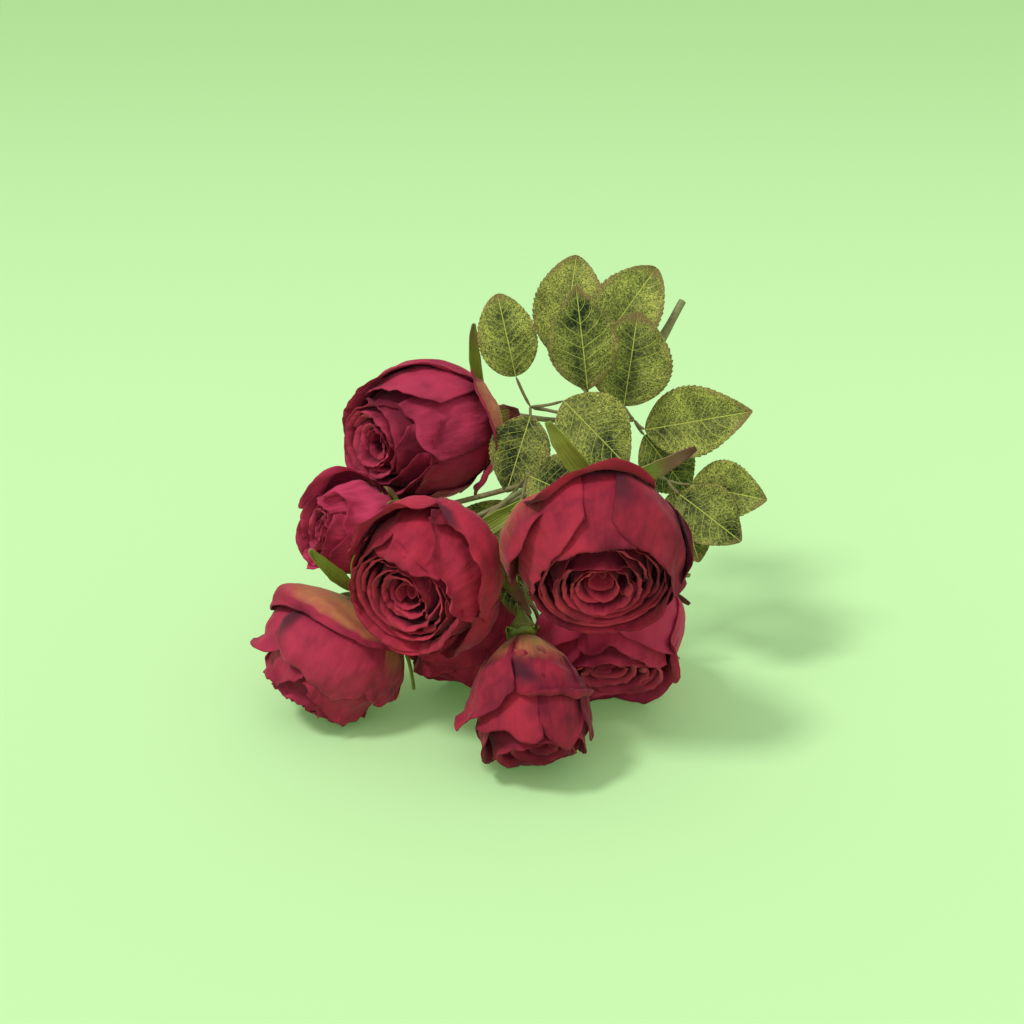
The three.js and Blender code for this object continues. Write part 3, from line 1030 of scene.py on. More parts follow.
    def _spiral(self, stitcher: Stitcher, rng: np.random.Generator) -> None:
        """Adds the middle scroll, one narrow petal rolled up on itself.

        Args:
            stitcher: the piece so far.
            rng: the source of its unevenness.
        """
        columns, rows = 56, 16
        u = np.linspace(0, 1, columns)[None, :]
        t = np.linspace(0, 1, rows)[:, None]
        angle = u * math.radians(500) + rng.uniform(0, 6)
        inner = min(layer for layer, _, _ in self.whorls) * self.mouth * self.radius
        radius = inner * (0.22 + 0.60 * u) * (0.86 + 0.2 * t) + 0.35 * waves(rng, u * 30, t * 20, 9.0, 4)
        top = self.heart_rise * min(rise for _, _, rise in self.whorls) - 0.05 - 0.12 * (1 - u) ** 2
        share = 0.3 + (top - 0.3) * t + 0.015 * np.sin(angle * 1.5) * t
        slide = np.array(self.heart_slide) * (1 - min(layer for layer, _, _ in self.whorls))
        points = self._placed(angle, radius, self.height * share, share, tuple(slide))
        marks = {
            "tone": self.heart_tone - 0.05, "blush": self.blush, "seed": rng.uniform(0, 1),
            "peach": 0.0, "smudge": 0.0,
            "edge": np.broadcast_to((1 - t) * 20.0, (rows, columns)),
        }
        uv = np.stack(np.broadcast_arrays(u, t), -1)
        stitcher.add_grid(points, CLOTH_THICKNESS, uv, marks)

    def cad_turn(self) -> Quaternion:
        """The turn that stands the head's own frame on its axis."""
        return Vector((0, 0, 1)).rotation_difference(Vector(self.axis))

    def calyx(self, material: bpy.types.Material) -> bpy.types.Object:
        """The green cup under the petals with its five sepals, as one piece.

        Args:
            material: the finish.

        Returns:
            The piece.
        """
        rng = np.random.default_rng(300 + self.number)
        stitcher = Stitcher()
        turn = self.cad_turn()
        e1, e2 = (np.array(turn @ Vector(d)) for d in ((1, 0, 0), (0, 1, 0)))
        profile = [(0.0, -14.0), (1.9, -14.0), (2.2, -13.6), (2.9, -10.9), (4.3, -8.8), (5.9, -7.0),
                   (6.9, -5.0), (7.0, -3.6), (6.2, -1.6), (4.9, -0.4), (0.0, -0.35)]
        stitcher.add_lathe(profile, self.seat, (e1, e2, self.axis), 30, 0.05,
                           {"tone": -0.35, "seed": 0.3, "flush": 0.12})
        for number, (x, y, z, twist, slim, *hug) in enumerate(self.open_sepals):
            end = np.array([x, y, z], float)
            local = np.array(turn.inverted() @ Vector(end - self.seat))
            outward = unit([local[0], local[1], 0])
            root = outward * 3.5 + np.array([0, 0, -4.9])
            flat = math.hypot(local[0], local[1])
            bend = outward * 0.5 * flat + np.array([0, 0, min(-6.0, 0.4 * local[2])])
            if hug:
                bend = outward * self.radius * 1.05 + np.array([0, 0, hug[0]])
            self._sepal(stitcher, rng, turn, bezier([root, bend, local], 30), outward, twist,
                        self.sepal_flush[number % len(self.sepal_flush)], slim)
        for degrees in self.shut_sepals:
            angle = math.radians(degrees)
            outward = np.array([math.cos(angle), math.sin(angle), 0])
            root = outward * 3.5 + np.array([0, 0, -4.9])
            bend = outward * 0.8 * self.radius + np.array([0, 0, -4.0])
            tip = outward * (self.radius + 3) + np.array([0, 0, min(0.3 * self.height, 34 - 0.5 * self.radius)])
            path = bezier([root, bend, tip], 90)[: int(90 * self.shut_reach)]
            path = path[np.linspace(0, len(path) - 1, 30).astype(int)]
            self._sepal(stitcher, rng, turn, path, outward, 0.0, rng.uniform(0.0, 0.6))
        return stitcher.build(f"rose_{self.number}_sepals", material)

    def _sepal(
        self, stitcher: Stitcher, rng: np.random.Generator, turn: Quaternion,
        path: np.ndarray, outward: np.ndarray, twist: float, flush: float, slim: float = 1.0,
    ) -> None:
        """Adds one sepal along a path in the head's own frame.

        Args:
            stitcher: what it is added to.
            rng: the source of its teeth and waves.
            turn: from the head's own frame to the layout.
            path: points from its root to its tip.
            outward: the direction away from the head's axis at its root.
            twist: degrees that it turns about itself by its middle.
            flush: how red it is towards its tip.
            slim: its width as a share of the usual.
        """
        rows, columns = len(path), 11
        s = np.linspace(0, 1, rows)[:, None]
        c = np.linspace(-1, 1, columns)[None, :]
        half = 5.8 * slim * np.maximum(np.sin(np.pi * (0.24 + 0.71 * s)) ** 0.65, 0.1)
        teeth = 1 + 0.10 * np.maximum(np.sin(s * 21 + rng.uniform(0, 6)), 0) * ease(0.25, 0.45, s)
        half = half * teeth
        along = np.gradient(path, axis=0)
        along /= np.linalg.norm(along, axis=1, keepdims=True)
        sideways = np.cross(np.array([0, 0, 1.0]), outward)
        cross = sideways - along * (along @ sideways)[:, None]
        cross /= np.linalg.norm(cross, axis=1, keepdims=True)
        angle = np.radians(twist) * np.minimum(s[:, 0] * 2, 1)
        face = np.cross(along, cross)
        cos, sin = np.cos(angle)[:, None], np.sin(angle)[:, None]
        cross, face = cross * cos + face * sin, face * cos - cross * sin
        cup = -0.55 * half * (c**2)
        wave = 0.35 * waves(rng, c * 4.5, s * 34, 9.0, 4) * s
        local = (
            path[:, None] + cross[:, None] * (half * c)[..., None]
            + face[:, None] * (-cup * 0.6 + wave)[..., None]
        )
        matrix = np.array(turn.to_matrix())
        points = self.seat + local @ matrix.T
        uv = np.stack(np.broadcast_arrays((c + 1) / 2, s), -1)
        marks = {
            "tone": rng.uniform(-0.1, 0.15),
            "seed": rng.uniform(0, 1),
            "flush": np.broadcast_to(
                flush * 1.5 * ease(0.35, 0.95, s) + 0.2 * flush * np.abs(c) ** 3, (rows, columns)
            ),
        }
        stitcher.add_grid(points, 0.75 - 0.25 * np.abs(c) + 0 * s, uv, marks)


# ---------------------------------------------------------------- leaves


@dataclass
class Leaf:
    """A printed cloth leaf with a toothed edge, from its base to its tip."""

    number: int
    base: tuple[float, float, float]
    tip: tuple[float, float, float]
    width: float
    roll: float = 0.0
    bow: float = 3.0
    fold: float = 0.22
    blunt: float = 0.35
    tone: float = 0.0
    rust: float = 0.0
    teeth: int = 19

    def build(self, material: bpy.types.Material) -> bpy.types.Object:
        """Makes the leaf.

        Args:
            material: its print.

        Returns:
            The leaf as a closed thin sheet.
        """
        rng = np.random.default_rng(400 + self.number)
        base, tip = np.array(self.base, float), np.array(self.tip, float)
        length = float(np.linalg.norm(tip - base))
        along = (tip - base) / length
        sideways = unit(np.cross(along, [0, -0.9, 0.42]))
        face = np.cross(sideways, along)
        angle = math.radians(self.roll)
        sideways, face = (
            sideways * math.cos(angle) + face * math.sin(angle),
            face * math.cos(angle) - sideways * math.sin(angle),
        )
        rows, columns = 6 * self.teeth + 1, 23
        s = np.linspace(0, 1, rows)[:, None]
        c = np.linspace(-1, 1, columns)[None, :]
        outline = np.maximum(np.sin(np.pi * s**0.88) ** (0.55 + 0.3 * (1 - self.blunt)), 0.03)
        outline = outline * (1 - 0.12 * ease(0.55, 1.0, s) * (1 - self.blunt))
        saw = (s * self.teeth) % 1.0
        notch = 0.03 * (saw - 0.25) * ease(0.03, 0.12, s) * np.sqrt(np.sin(np.pi * np.clip(s, 0.001, 0.999)))
        rim = np.abs(c) ** 9
        half = self.width / 2 * outline * (1 + notch * rim * 1.6)
        forward = rim * 0.4 * notch * length * 0.5
        y = c * half
        rank = (s - 0.20 * np.abs(c) - 0.05 * c**2) * 7.0 * 1.25
        quilt = (
            0.42 * np.cos(2 * np.pi * rank) * np.sqrt(np.clip(1 - np.abs(c), 0, 1))
            * ease(0, 0.2, np.abs(c)) * outline
        )
        wave = (
            0.55 * waves(rng, y, s * length, 26.0, 5)
            + 0.7 * waves(rng, c * 3, s * length, 16.0, 4) * np.abs(c) ** 3
        )
        lift = self.bow * np.sin(np.pi * s) + self.fold * np.abs(y) * 1.0 - quilt + wave * ease(0.02, 0.3, s)
        points = (
            base
            + along * ((s * length + forward))[..., None]
            + sideways * y[..., None]
            + face * lift[..., None]
        )
        uv = np.stack(np.broadcast_arrays((c + 1) / 2, s), -1)
        edge = np.minimum((1 - np.abs(c)) * half, (1 - s) * length * 0.8)
        marks = {
            "tone": self.tone + rng.uniform(-0.08, 0.08),
            "seed": rng.uniform(0, 1),
            "edge": edge,
            "rust": self.rust + 0.35 * ease(0.75, 1.0, s),
            "half": np.broadcast_to(half, (rows, columns)),
            "under": 0.0,
        }
        stitcher = Stitcher()
        stitcher.add_grid(points, 0.4, uv, marks)
        under = stitcher.marks["under"][0]
        under[rows * columns:] = 1.0
        return stitcher.build(f"leaf_{self.number}_blade", material)


# ---------------------------------------------------------------- stems


STEM_POINTS = ((95, 85, 190), (80, 66, 170), (52, 34, 143), (18, -4, 112))
MAIN_STEM_RADIUS = 3.0
BRANCH_RADIUS = 1.5
STALK_RADIUS = 0.9
SEAM = 0.35


class StemPath:
    """The bent line that the main stem follows from its cut end to its fork."""

    def __init__(self) -> None:
        """Samples the smooth curve through the stem's four points."""
        self.knots = [np.array(p, float) for p in STEM_POINTS]

    def at(self, share: float) -> np.ndarray:
        """The point at a share of the curve's own parameter, which may be a little outside it.

        Args:
            share: the place, where 0 is one end and 1 the other.

        Returns:
            The point.
        """
        knots = self.knots
        spot = min(max(share, 0.0), 1.0) * (len(knots) - 1)
        index = min(int(spot), len(knots) - 2)
        part = spot - index
        p1, p2 = knots[index], knots[index + 1]
        p0 = knots[index - 1] if index > 0 else 2 * p1 - p2
        p3 = knots[index + 2] if index + 2 < len(knots) else 2 * p2 - p1
        gaps = [max(math.sqrt(np.linalg.norm(b - a)), 1e-6) for a, b in ((p0, p1), (p1, p2), (p2, p3))]
        t1 = ((p1 - p0) / gaps[0] - (p2 - p0) / (gaps[0] + gaps[1]) + (p2 - p1) / gaps[1]) * gaps[1]
        t2 = ((p2 - p1) / gaps[1] - (p3 - p1) / (gaps[1] + gaps[2]) + (p3 - p2) / gaps[2]) * gaps[1]
        c2, c3 = -3 * p1 + 3 * p2 - 2 * t1 - t2, 2 * p1 - 2 * p2 + t1 + t2
        return p1 + t1 * part + c2 * part**2 + c3 * part**3

    def direction(self, share: float) -> np.ndarray:
        """The unit direction of the curve there."""
        low, high = max(share - 0.0001, 0.0), min(share + 0.0001, 1.0)
        return unit(self.at(high) - self.at(low))

    def leave(
        self, station: float, towards: Sequence[float], radius: float, forward: bool
    ) -> tuple[np.ndarray, np.ndarray, float]:
        """Where and how a branch or stalk leaves the main stem.

        Args:
            station: its place, 0 at the fork and 1 at the inner end.
            towards: the point it goes to.
            radius: its own radius.
            forward: whether it leaves slanting along the stem.

        Returns:
            Its first point, its first direction and how far its cut leans into the stem.
        """
        share = (2 + station) / 3
        root, spine = self.at(share), self.direction(share)
        straight = unit(np.array(towards, float) - root)
        side = unit(straight - spine * (straight @ spine))
        leave = unit(side + spine) if forward else straight
        lean = math.sin(math.acos(min(1.0, float(leave @ side)))) * radius
        return root + side * (MAIN_STEM_RADIUS + lean + SEAM), leave, lean


class TubeTree:
    """A node tree that turns drawn lines with a girth at each point into solid stems."""

    def __init__(self, material: bpy.types.Material) -> None:
        """Builds the tree for one finish.

        Args:
            material: the finish of what it grows.
        """
        self.material = material
        tree = bpy.data.node_groups.new("stems_along_lines", "GeometryNodeTree")
        face = tree.interface
        face.new_socket("Lines", in_out="INPUT", socket_type="NodeSocketGeometry")
        self.ids = {}
        for name, kind, value in (("Sides", "NodeSocketInt", 14), ("Unevenness", "NodeSocketFloat", 0.08),
                                  ("Grain", "NodeSocketFloat", 160.0)):
            socket = face.new_socket(name, in_out="INPUT", socket_type=kind)
            socket.default_value = value
            self.ids[name] = socket.identifier
        face.new_socket("Stems", in_out="OUTPUT", socket_type="NodeSocketGeometry")
        self.tree = tree
        start, end = tree.nodes.new("NodeGroupInput"), tree.nodes.new("NodeGroupOutput")
        curve = self._add("GeometryNodeMeshToCurve", {}, i0=start.outputs["Lines"])
        girth = self._add("GeometryNodeInputNamedAttribute", {"data_type": "FLOAT"}, Name="girth")
        position = self._add("GeometryNodeInputPosition", {})
        noise = self._add("ShaderNodeTexNoise", {}, Vector=position.outputs[0], Scale=start.outputs["Grain"],
            Detail=2.0)
        centred = self._add("ShaderNodeMath", {"operation": "SUBTRACT"}, i0=noise.outputs[0], i1=0.5)
        uneven = self._add("ShaderNodeMath", {"operation": "MULTIPLY"}, i0=centred.outputs[0],
            i1=start.outputs["Unevenness"])
        factor = self._add("ShaderNodeMath", {"operation": "ADD"}, i0=uneven.outputs[0], i1=1.0)
        size = self._add("ShaderNodeMath", {"operation": "MULTIPLY"}, i0=girth.outputs[0], i1=factor.outputs[0])
        radius = self._add("GeometryNodeSetCurveRadius", {}, Curve=curve.outputs[0], Radius=size.outputs[0])
        ring = self._add("GeometryNodeCurvePrimitiveCircle", {"mode": "RADIUS"},
            Resolution=start.outputs["Sides"], Radius=1.0)
        tube = self._add("GeometryNodeCurveToMesh", {}, Curve=radius.outputs[0], Profile_Curve=ring.outputs[0],
            Fill_Caps=True)
        if "Scale" in tube.inputs:
            read = self._add("GeometryNodeInputRadius", {})
            tree.links.new(read.outputs[0], tube.inputs["Scale"])
        smooth = self._add("GeometryNodeSetShadeSmooth", {}, i0=tube.outputs[0])
        real = self._add("GeometryNodeRealizeInstances", {}, i0=smooth.outputs[0])
        done = self._add("GeometryNodeSetMaterial", {}, Geometry=real.outputs[0], Material=material)
        tree.links.new(done.outputs[0], end.inputs[0])

    def _add(self, kind: str, settings: dict[str, Any], **inputs: Any) -> bpy.types.Node:
        """Adds a node with its settings and its sockets' values or links.

        Args:
            kind: the node's type.
            settings: its properties.
            inputs: its values or links by socket name.

        Returns:
            The node.
        """
        made = self.tree.nodes.new(kind)
        for key, value in settings.items():
            setattr(made, key, value)
        for key, value in inputs.items():
            numbered = key[0] == "i" and key[1:].isdigit()
            socket = made.inputs[int(key[1:]) if numbered else key.replace("_", " ")]
            if isinstance(value, bpy.types.NodeSocket):
                self.tree.links.new(value, socket)
            else:
                socket.default_value = value
        return made

    def grow(
        self, name: str, lines: Sequence[tuple[np.ndarray, np.ndarray, float]],
        sides: int = 14, unevenness: float = 0.08,
    ) -> bpy.types.Object:
        """Makes one piece of solid stems.

        Args:
            name: the piece's name.
            lines: for each stem its points and girths in millimetres of the layout, and how brown it is.
            sides: how many facets each stem has around.
            unevenness: the share by which its girth varies.

        Returns:
            A plain mesh object at the origin.
        """
        verts, edges, girths, rust = [], [], [], []
        for points, girth, brown in lines:
            first = len(verts)
            verts.extend(((points + LAYOUT_SHIFT) * MM).tolist())
            edges.extend((first + i, first + i + 1) for i in range(len(points) - 1))
            girths.extend((np.broadcast_to(girth, len(points)) * MM).tolist())
            rust.extend([brown] * len(points))
        mesh = bpy.data.meshes.new(name + "_lines")
        mesh.from_pydata(verts, edges, [])
        for key, values in (("girth", girths), ("rust", rust)):
            mark = mesh.attributes.new(key, "FLOAT", "POINT")
            mark.data.foreach_set("value", np.array(values, np.float32))
        drawn = bpy.data.objects.new(name + "_drawn", mesh)
        bpy.context.scene.collection.objects.link(drawn)
        modifier = drawn.modifiers.new("stems", "NODES")
        modifier.node_group = self.tree
        modifier[self.ids["Sides"]] = sides
        modifier[self.ids["Unevenness"]] = unevenness
        ready = drawn.evaluated_get(bpy.context.evaluated_depsgraph_get())
        solid = bpy.data.meshes.new_from_object(ready)
        drawn.modifiers.remove(modifier)
        bpy.data.objects.remove(drawn)
        made = bmesh.new()
        made.from_mesh(solid)
        bmesh.ops.remove_doubles(made, verts=made.verts, dist=1e-7)
        bmesh.ops.recalc_face_normals(made, faces=made.faces)
        made.to_mesh(solid)
        made.free()
        solid.name = name
        piece = bpy.data.objects.new(name, solid)
        bpy.context.scene.collection.objects.link(piece)
        return piece


def rounded(girth: float, count: int, start: float = 0.35, end: float = 0.35) -> np.ndarray:
    """A girth along a stem, drawn in at its two ends.

    Args:
        girth: the radius along most of the stem.
        count: how many values to give.
        start: how strongly the first end is drawn in.
        end: how strongly the last end is drawn in.

    Returns:
        A radius for every point.
    """
    values = np.full(count, girth, float)
    values[0] *= start
    values[1] *= (1 + start) / 2 + 0.12
    values[-1] *= end
    values[-2] *= (1 + end) / 2 + 0.12
    return values


@dataclass
class Sprig:
    """A leaf sprig: one stalk from the main stem to a knot, and a stalk to each leaf."""

    number: int
    station: float
    knot: tuple[float, float, float]
    leaves: tuple[Leaf, ...]

    def lines(self, path: StemPath) -> list[tuple[np.ndarray, np.ndarray, float]]:
        """The stalks' points, girths and brownness.

        Args:
            path: the main stem that they leave.

        Returns:
            One row for each stalk.
        """
        knot = np.array(self.knot, float)
        start, _, _ = path.leave(self.station, self.knot, STALK_RADIUS, False)
        share = np.linspace(0, 1, 14)[:, None]
        girth = rounded(STALK_RADIUS, 14)
        girth[-4:] = (1.0, 1.25, 1.4, 0.5)
        drawn = [(start * (1 - share) + knot * share, girth, 0.1)]
        for leaf in self.leaves:
            base, tip = np.array(leaf.base, float), np.array(leaf.tip, float)
            end = base - unit(base - knot) * SEAM
            share = np.linspace(0, 1, 12)[:, None]
            sag = np.array([0, 0, -0.8]) * np.sin(np.pi * share)
            drawn.append((knot * (1 - share) + end * share + sag, rounded(STALK_RADIUS * 0.92, 12), 0.1))
        return drawn


# ---------------------------------------------------------------- the bunch


def deg(start: float, end: float, *rim: float, **more: Any) -> Petal:
    """A petal written short: its two sides and its rim's heights, then anything else by name."""
    return Petal(start, end, rim=rim or Petal.rim, **more)


# The tone values below paint light and shade: they lighten heads and petals that lie in shade, such as roses 2 and 6,
# and darken others.
ROSES = (
    RoseHead(
        1, (-45, 43, 130), (-0.73, -0.67, 0.10), 37, 72, 0.93, 0.66, 0.0,
        outer=(
            deg(52, 165, 0.27, 0.54, 0.70, 0.92, 1.0, 1.02, 1.0, 0.9, layer=(0.99,), lift=(1.5, 3, 3, 2, 1),
                curl=(30, 25, 10), peach=0.26, ruffle=0.8),
            deg(-58, 58, 0.38, 0.50, 0.46, 0.43, 0.46, 0.50, 0.40, layer=(1.04,),
                lift=(2.0, 3.4, 4.0, 3.4, 2.4), belly=(0, 1.5, 2, 1.5, 0), curl=(70,), roll=0.76,
                peach=(0.62, 0.56, 0.48, 0.52, 0.6), ruffle=0.8),
            deg(38, 118, 0.78, 0.88, 0.95, 0.98, 1.0, 1.0, 0.98, layer=(0.985, 0.98, 0.97), taper=0.4,
                curl=(35, 30, 10), lift=(1.6, 1.2, 0.3), tone=0.14),
            deg(-10, 62, 0.87, 0.95, 0.95, 0.94, 0.96, 0.97, layer=(0.97, 0.95, 0.94), taper=0.42,
                lift=(2.4, 0.6, 0.0), curl=(50, 8, 4)),
            deg(-66, 24, 0.80, 0.90, 0.92, 0.90, 0.87, 0.80, layer=(0.96, 0.97, 0.96),
                curl=(30, 55, 70, 60, 50), roll=0.86, tone=0.02),
            deg(160, 262, 0.86, 0.98, 1.0, 0.97, 0.85, layer=(0.98, 0.97), lift=(1, 2, 1), curl=(20, 30, 20)),
            deg(245, 312, 0.8, 0.94, 0.97, 0.92, 0.8, layer=(1.0, 0.99), lift=(1, 2, 1), curl=(30,)),
            deg(108, 200, 0.9, 1.02, 1.04, 1.0, 0.9, layer=(0.94, 0.92), curl=(40,)),
            deg(185, 285, 0.9, 1.03, 1.04, 1.0, 0.92, layer=(0.94, 0.92), curl=(50,)),
            deg(262, 345, 0.9, 1.02, 1.02, 0.98, 0.9, layer=(0.94, 0.92), curl=(55,)),
        ),
        whorls=((0.86, 3, 1.0), (0.73, 3, 1.02), (0.58, 3, 1.04), (0.44, 3, 1.03), (0.31, 2, 0.99)),
        heart_rise=1.07, blush=0.8, tone=0.03, heart_tone=-0.22,
        open_sepals=((-21, 60, 186, 60, 0.55, 12.0), (4, 52, 137, 0, 1.0)),
        shut_sepals=(90, 160, 230), sepal_flush=(0.4, 1.25),
    ),
    RoseHead(
        2, (-87, -12, 99), (-0.72, -0.67, 0.18), 25, 46, 0.9, 0.68, 0.8,
        outer=(
            deg(66, 150, 0.5, 0.66, 0.86, 1.0, 1.06, 1.02, layer=(1.0,), lift=(3, 4, 5, 3, 2),
                curl=(50, 60, 50), roll=0.7, tone=0.1, ruffle=1.2),
            deg(-22, 76, 0.80, 0.86, 0.84, 0.80, 0.88, 1.0, 1.04, layer=(0.99, 0.97, 0.95), lift=(3, 3, 2, 1),
                curl=(70, 50, 20), ruffle=1.2, crumple=1.3, tone=0.08),
            deg(140, 235, 0.9, 1.02, 1.06, 1.04, 0.95, layer=(1.0, 0.98), lift=(1, 2, 1), curl=(40,), crumple=0.8),
            deg(225, 300, 0.88, 1.0, 1.03, 1.0, 0.85, layer=(1.0, 0.98), lift=(1, 2, 1), curl=(50,), crumple=0.8),
            deg(285, 350, 0.7, 0.88, 0.95, 0.9, 0.8, layer=(1.03, 1.0), lift=(2, 3, 2), curl=(40,)),
            deg(20, 110, 0.95, 1.02, 1.04, 1.02, 0.95, layer=(0.90, 0.88), curl=(20,), crumple=1.0),
            deg(110, 215, 0.95, 1.05, 1.06, 1.02, 0.92, layer=(0.88, 0.86), curl=(40,), crumple=0.8),
            deg(200, 290, 0.95, 1.02, 1.04, 1.0, 0.92, layer=(0.9, 0.86), curl=(45,), crumple=0.8),
            deg(280, 380, 0.93, 1.0, 1.0, 0.98, 0.92, layer=(0.91, 0.88), curl=(25,), crumple=1.0),
        ),
        whorls=((0.72, 3, 1.0), (0.52, 3, 0.97), (0.34, 2, 0.94)), heart_rise=1.0, blush=1.0, squeeze=(-14,
            0.5), tone=0.75,
        shut_sepals=(10, 82, 154, 226, 298),
    ),
    RoseHead(
        3, (-42, -66, 97), (-0.5, -0.86, -0.13), 38, 58, 0.92, 0.70, 0.94,
        outer=(
            deg(-18, 88, 0.66, 0.78, 0.82, 0.76, 0.72, 0.68, 0.6, 0.42, layer=(1.0,),
                lift=(0, 2, 4, 6.5, 8, 8.5, 7, 5), curl=(25, 25, 10, 0), ruffle=1.5, roll=0.7,
                peach=(0.3, 0.4, 0.34, 0.2, 0.12), tone=0.05, crumple=0.7, smudge=(0.85, 0.96, 10, 1.2, 0.6)),
            deg(76, 165, 0.40, 0.62, 0.74, 0.86, 0.94, 0.97, 0.9, layer=(0.98,), lift=(2, 4, 5, 4, 2, 1),
                curl=(40, 60, 50, 20), ruffle=1.7, tone=0.12, peach=0.2, roll=0.72),
            deg(-12, 82, 0.84, 1.0, 1.03, 1.02, 0.96, 0.86, 0.66, layer=(0.96, 0.97, 0.97), lift=(1, 1, 1, 3),
                curl=(50, 85, 80, 60, 50, 40), roll=0.84, peach=0.1, ruffle=1.2, crumple=0.8),
            deg(40, 124, 0.95, 1.03, 1.06, 1.05, 1.03, 0.96, layer=(0.92, 0.91, 0.93), curl=(15,), crumple=1.0,
                ruffle=1.2),
            deg(62, 84, 0.45, 0.70, 0.74, 0.6, layer=(0.99,), lift=(4, 3, 3), curl=(80, 50), tone=-0.3, peach=0.0),
            deg(150, 240, 0.88, 0.98, 1.0, 0.97, 0.88, layer=(0.97,), lift=(0.5, 1, 0.5), curl=(25,), ruffle=0.9),
            deg(225, 300, 0.84, 0.94, 0.98, 0.95, 0.88, layer=(0.97, 0.96), lift=(0, 1, 0.5), curl=(40, 55, 40),
                tone=0.06, ruffle=1.0),
            deg(288, 350, 0.74, 0.84, 0.9, 0.88, 0.8, layer=(1.0,), lift=(4, 6.5, 5, 1), curl=(15,), tone=-0.05),
            deg(110, 205, 0.94, 1.02, 1.03, 1.0, 0.9, layer=(0.92, 0.90), curl=(40,), ruffle=0.9),
            deg(190, 285, 0.9, 1.0, 1.02, 1.0, 0.92, layer=(0.91, 0.89), curl=(60,), ruffle=0.9),
            deg(275, 362, 0.9, 1.0, 1.02, 1.0, 0.9, layer=(0.92, 0.9), curl=(80,), roll=0.84, tone=0.08),
        ),
        whorls=((0.86, 3, 1.0), (0.72, 3, 1.0), (0.57, 3, 0.99), (0.42, 3, 0.98), (0.29, 2, 0.95)),
        heart_rise=1.0, blush=0.25, tone=-0.05,
        open_sepals=((8, -34, 122, 0, 0.9), (10, -76, 78, 0, 1.15)),
        shut_sepals=(110, 190, 250), sepal_flush=(0.0, 0.7),
    ),
    RoseHead(
        4, (-95, -44, 36), (-0.5, -0.41, -0.76), 36, 62, 0.84, 0.52, 0.98,
        outer=(
            deg(14, 200, 0.14, 0.22, 0.28, 0.30, 0.30, 0.30, 0.36, 0.44, 0.36, layer=(1.0,),
                lift=(4, 4, 4, 4, 5, 6, 7, 6, 4), belly=(0, 0, 1, 3, 6, 8, 10, 9, 5),
                curl=(30, 30, 30, 30, 25, 10, 0), roll=0.7, peach=(0.34, 0.34, 0.3, 0.26, 0.22, 0.16, 0.12),
                ruffle=0.6, taper=0.05),
            deg(120, 205, 0.60, 0.68, 0.76, 0.78, 0.74, 0.66, layer=(0.95, 0.99, 1.0), lift=(0, 1, 4, 4, 2),
                curl=(10, 30, 80, 70), tone=0.08),
            deg(40, 142, 0.66, 0.78, 0.82, 0.79, 0.74, 0.71, 0.58, layer=(0.98, 0.99, 1.01, 1.03),
                lift=(0.5, 2, 3, 3.5, 3), curl=(10, -6, -6, 5), smudge=(1.0, 0.62, 8, 1.5, 2.6), crumple=0.6,
                tone=0.03, peach=0.02),
            deg(-24, 46, 0.3, 0.5, 0.62, 0.68, 0.66, 0.6, layer=(0.98,), lift=(5, 3, 1, 0), curl=(10, 20, 20),
                ruffle=1.5, tone=-0.05, peach=0.36),
            deg(195, 280, 0.6, 0.75, 0.8, 0.75, 0.65, layer=(0.97,), lift=(2, 2, 2), curl=(25,)),
            deg(265, 345, 0.6, 0.75, 0.8, 0.72, 0.6, layer=(0.97,), lift=(2, 2, 3), curl=(25,)),
            deg(100, 190, 0.78, 0.88, 0.92, 0.9, 0.8, layer=(0.93,), curl=(40,), ruffle=1.0),
            deg(180, 275, 0.8, 0.9, 0.92, 0.88, 0.8, layer=(0.93,), curl=(35,), ruffle=1.0),
            deg(262, 355, 0.8, 0.88, 0.92, 0.88, 0.8, layer=(0.93,), curl=(35,), ruffle=1.0),
            deg(-10, 100, 0.8, 0.92, 0.95, 0.94, 0.88, 0.82, layer=(0.92,), curl=(30,), tone=-0.05, ruffle=1.0),
        ),
        whorls=((0.82, 3, 0.98), (0.64, 3, 1.0), (0.46, 3, 1.02),
            (0.3, 2, 1.0)), heart_rise=1.0, blush=0.62, tone=-0.08,
        open_sepals=((-105, -53, 103, 65, 0.7), (-82, -49, 98, 0, 0.7),
            (-52, -55, 21, 0, 0.9)), shut_sepals=(150, 220), sepal_flush=(0.15, 0.0, 0.2),
    ),
    RoseHead(
        5, (45, -82, 123), (0, -0.94, -0.35), 43, 62, 0.97, 0.77, 0.65, cup=(0.14, 0.38, 0.60, 0.78, 0.91),
        outer=(
            deg(45, 142, 0.40, 0.52, 0.57, 0.55, 0.60, 0.62, 0.70, 0.78, 0.64, layer=(1.0,),
                lift=(2, 5, 8, 9, 9, 7, 5, 4, 3), smudge=(0.92, 1.0, 9, 1.3), curl=(20, 50, 62, 58, 55, 60),
                roll=0.62, tone=0.3, peach=0.12),
            deg(128, 200, 0.72, 0.88, 0.93, 0.9, 0.8, layer=(1.0,), lift=(2, 6, 8, 6, 3), curl=(10, 20, 30),
                belly=(2, 5, 6, 3), peach=(0.5, 0.6, 0.8, 0.8), crumple=0.7),
            deg(-68, 34, 0.85, 0.95, 0.97, 0.95, 0.9, 0.78, 0.62, layer=(0.99,), lift=(1, 1, 1, 2, 4, 5),
                curl=(20, 10, 20), tone=-0.22),
            deg(54, 146, 1.0, 1.05, 1.07, 1.06, 1.07, 1.02, layer=(0.945, 0.93, 0.945), belly=(5, 8, 8, 5),
                curl=(12,), crumple=0.5, tone=-0.02),
            deg(103, 206, 0.88, 1.0, 1.04, 1.05, 1.03, 1.0, 0.92, layer=(0.975, 0.985, 0.98),
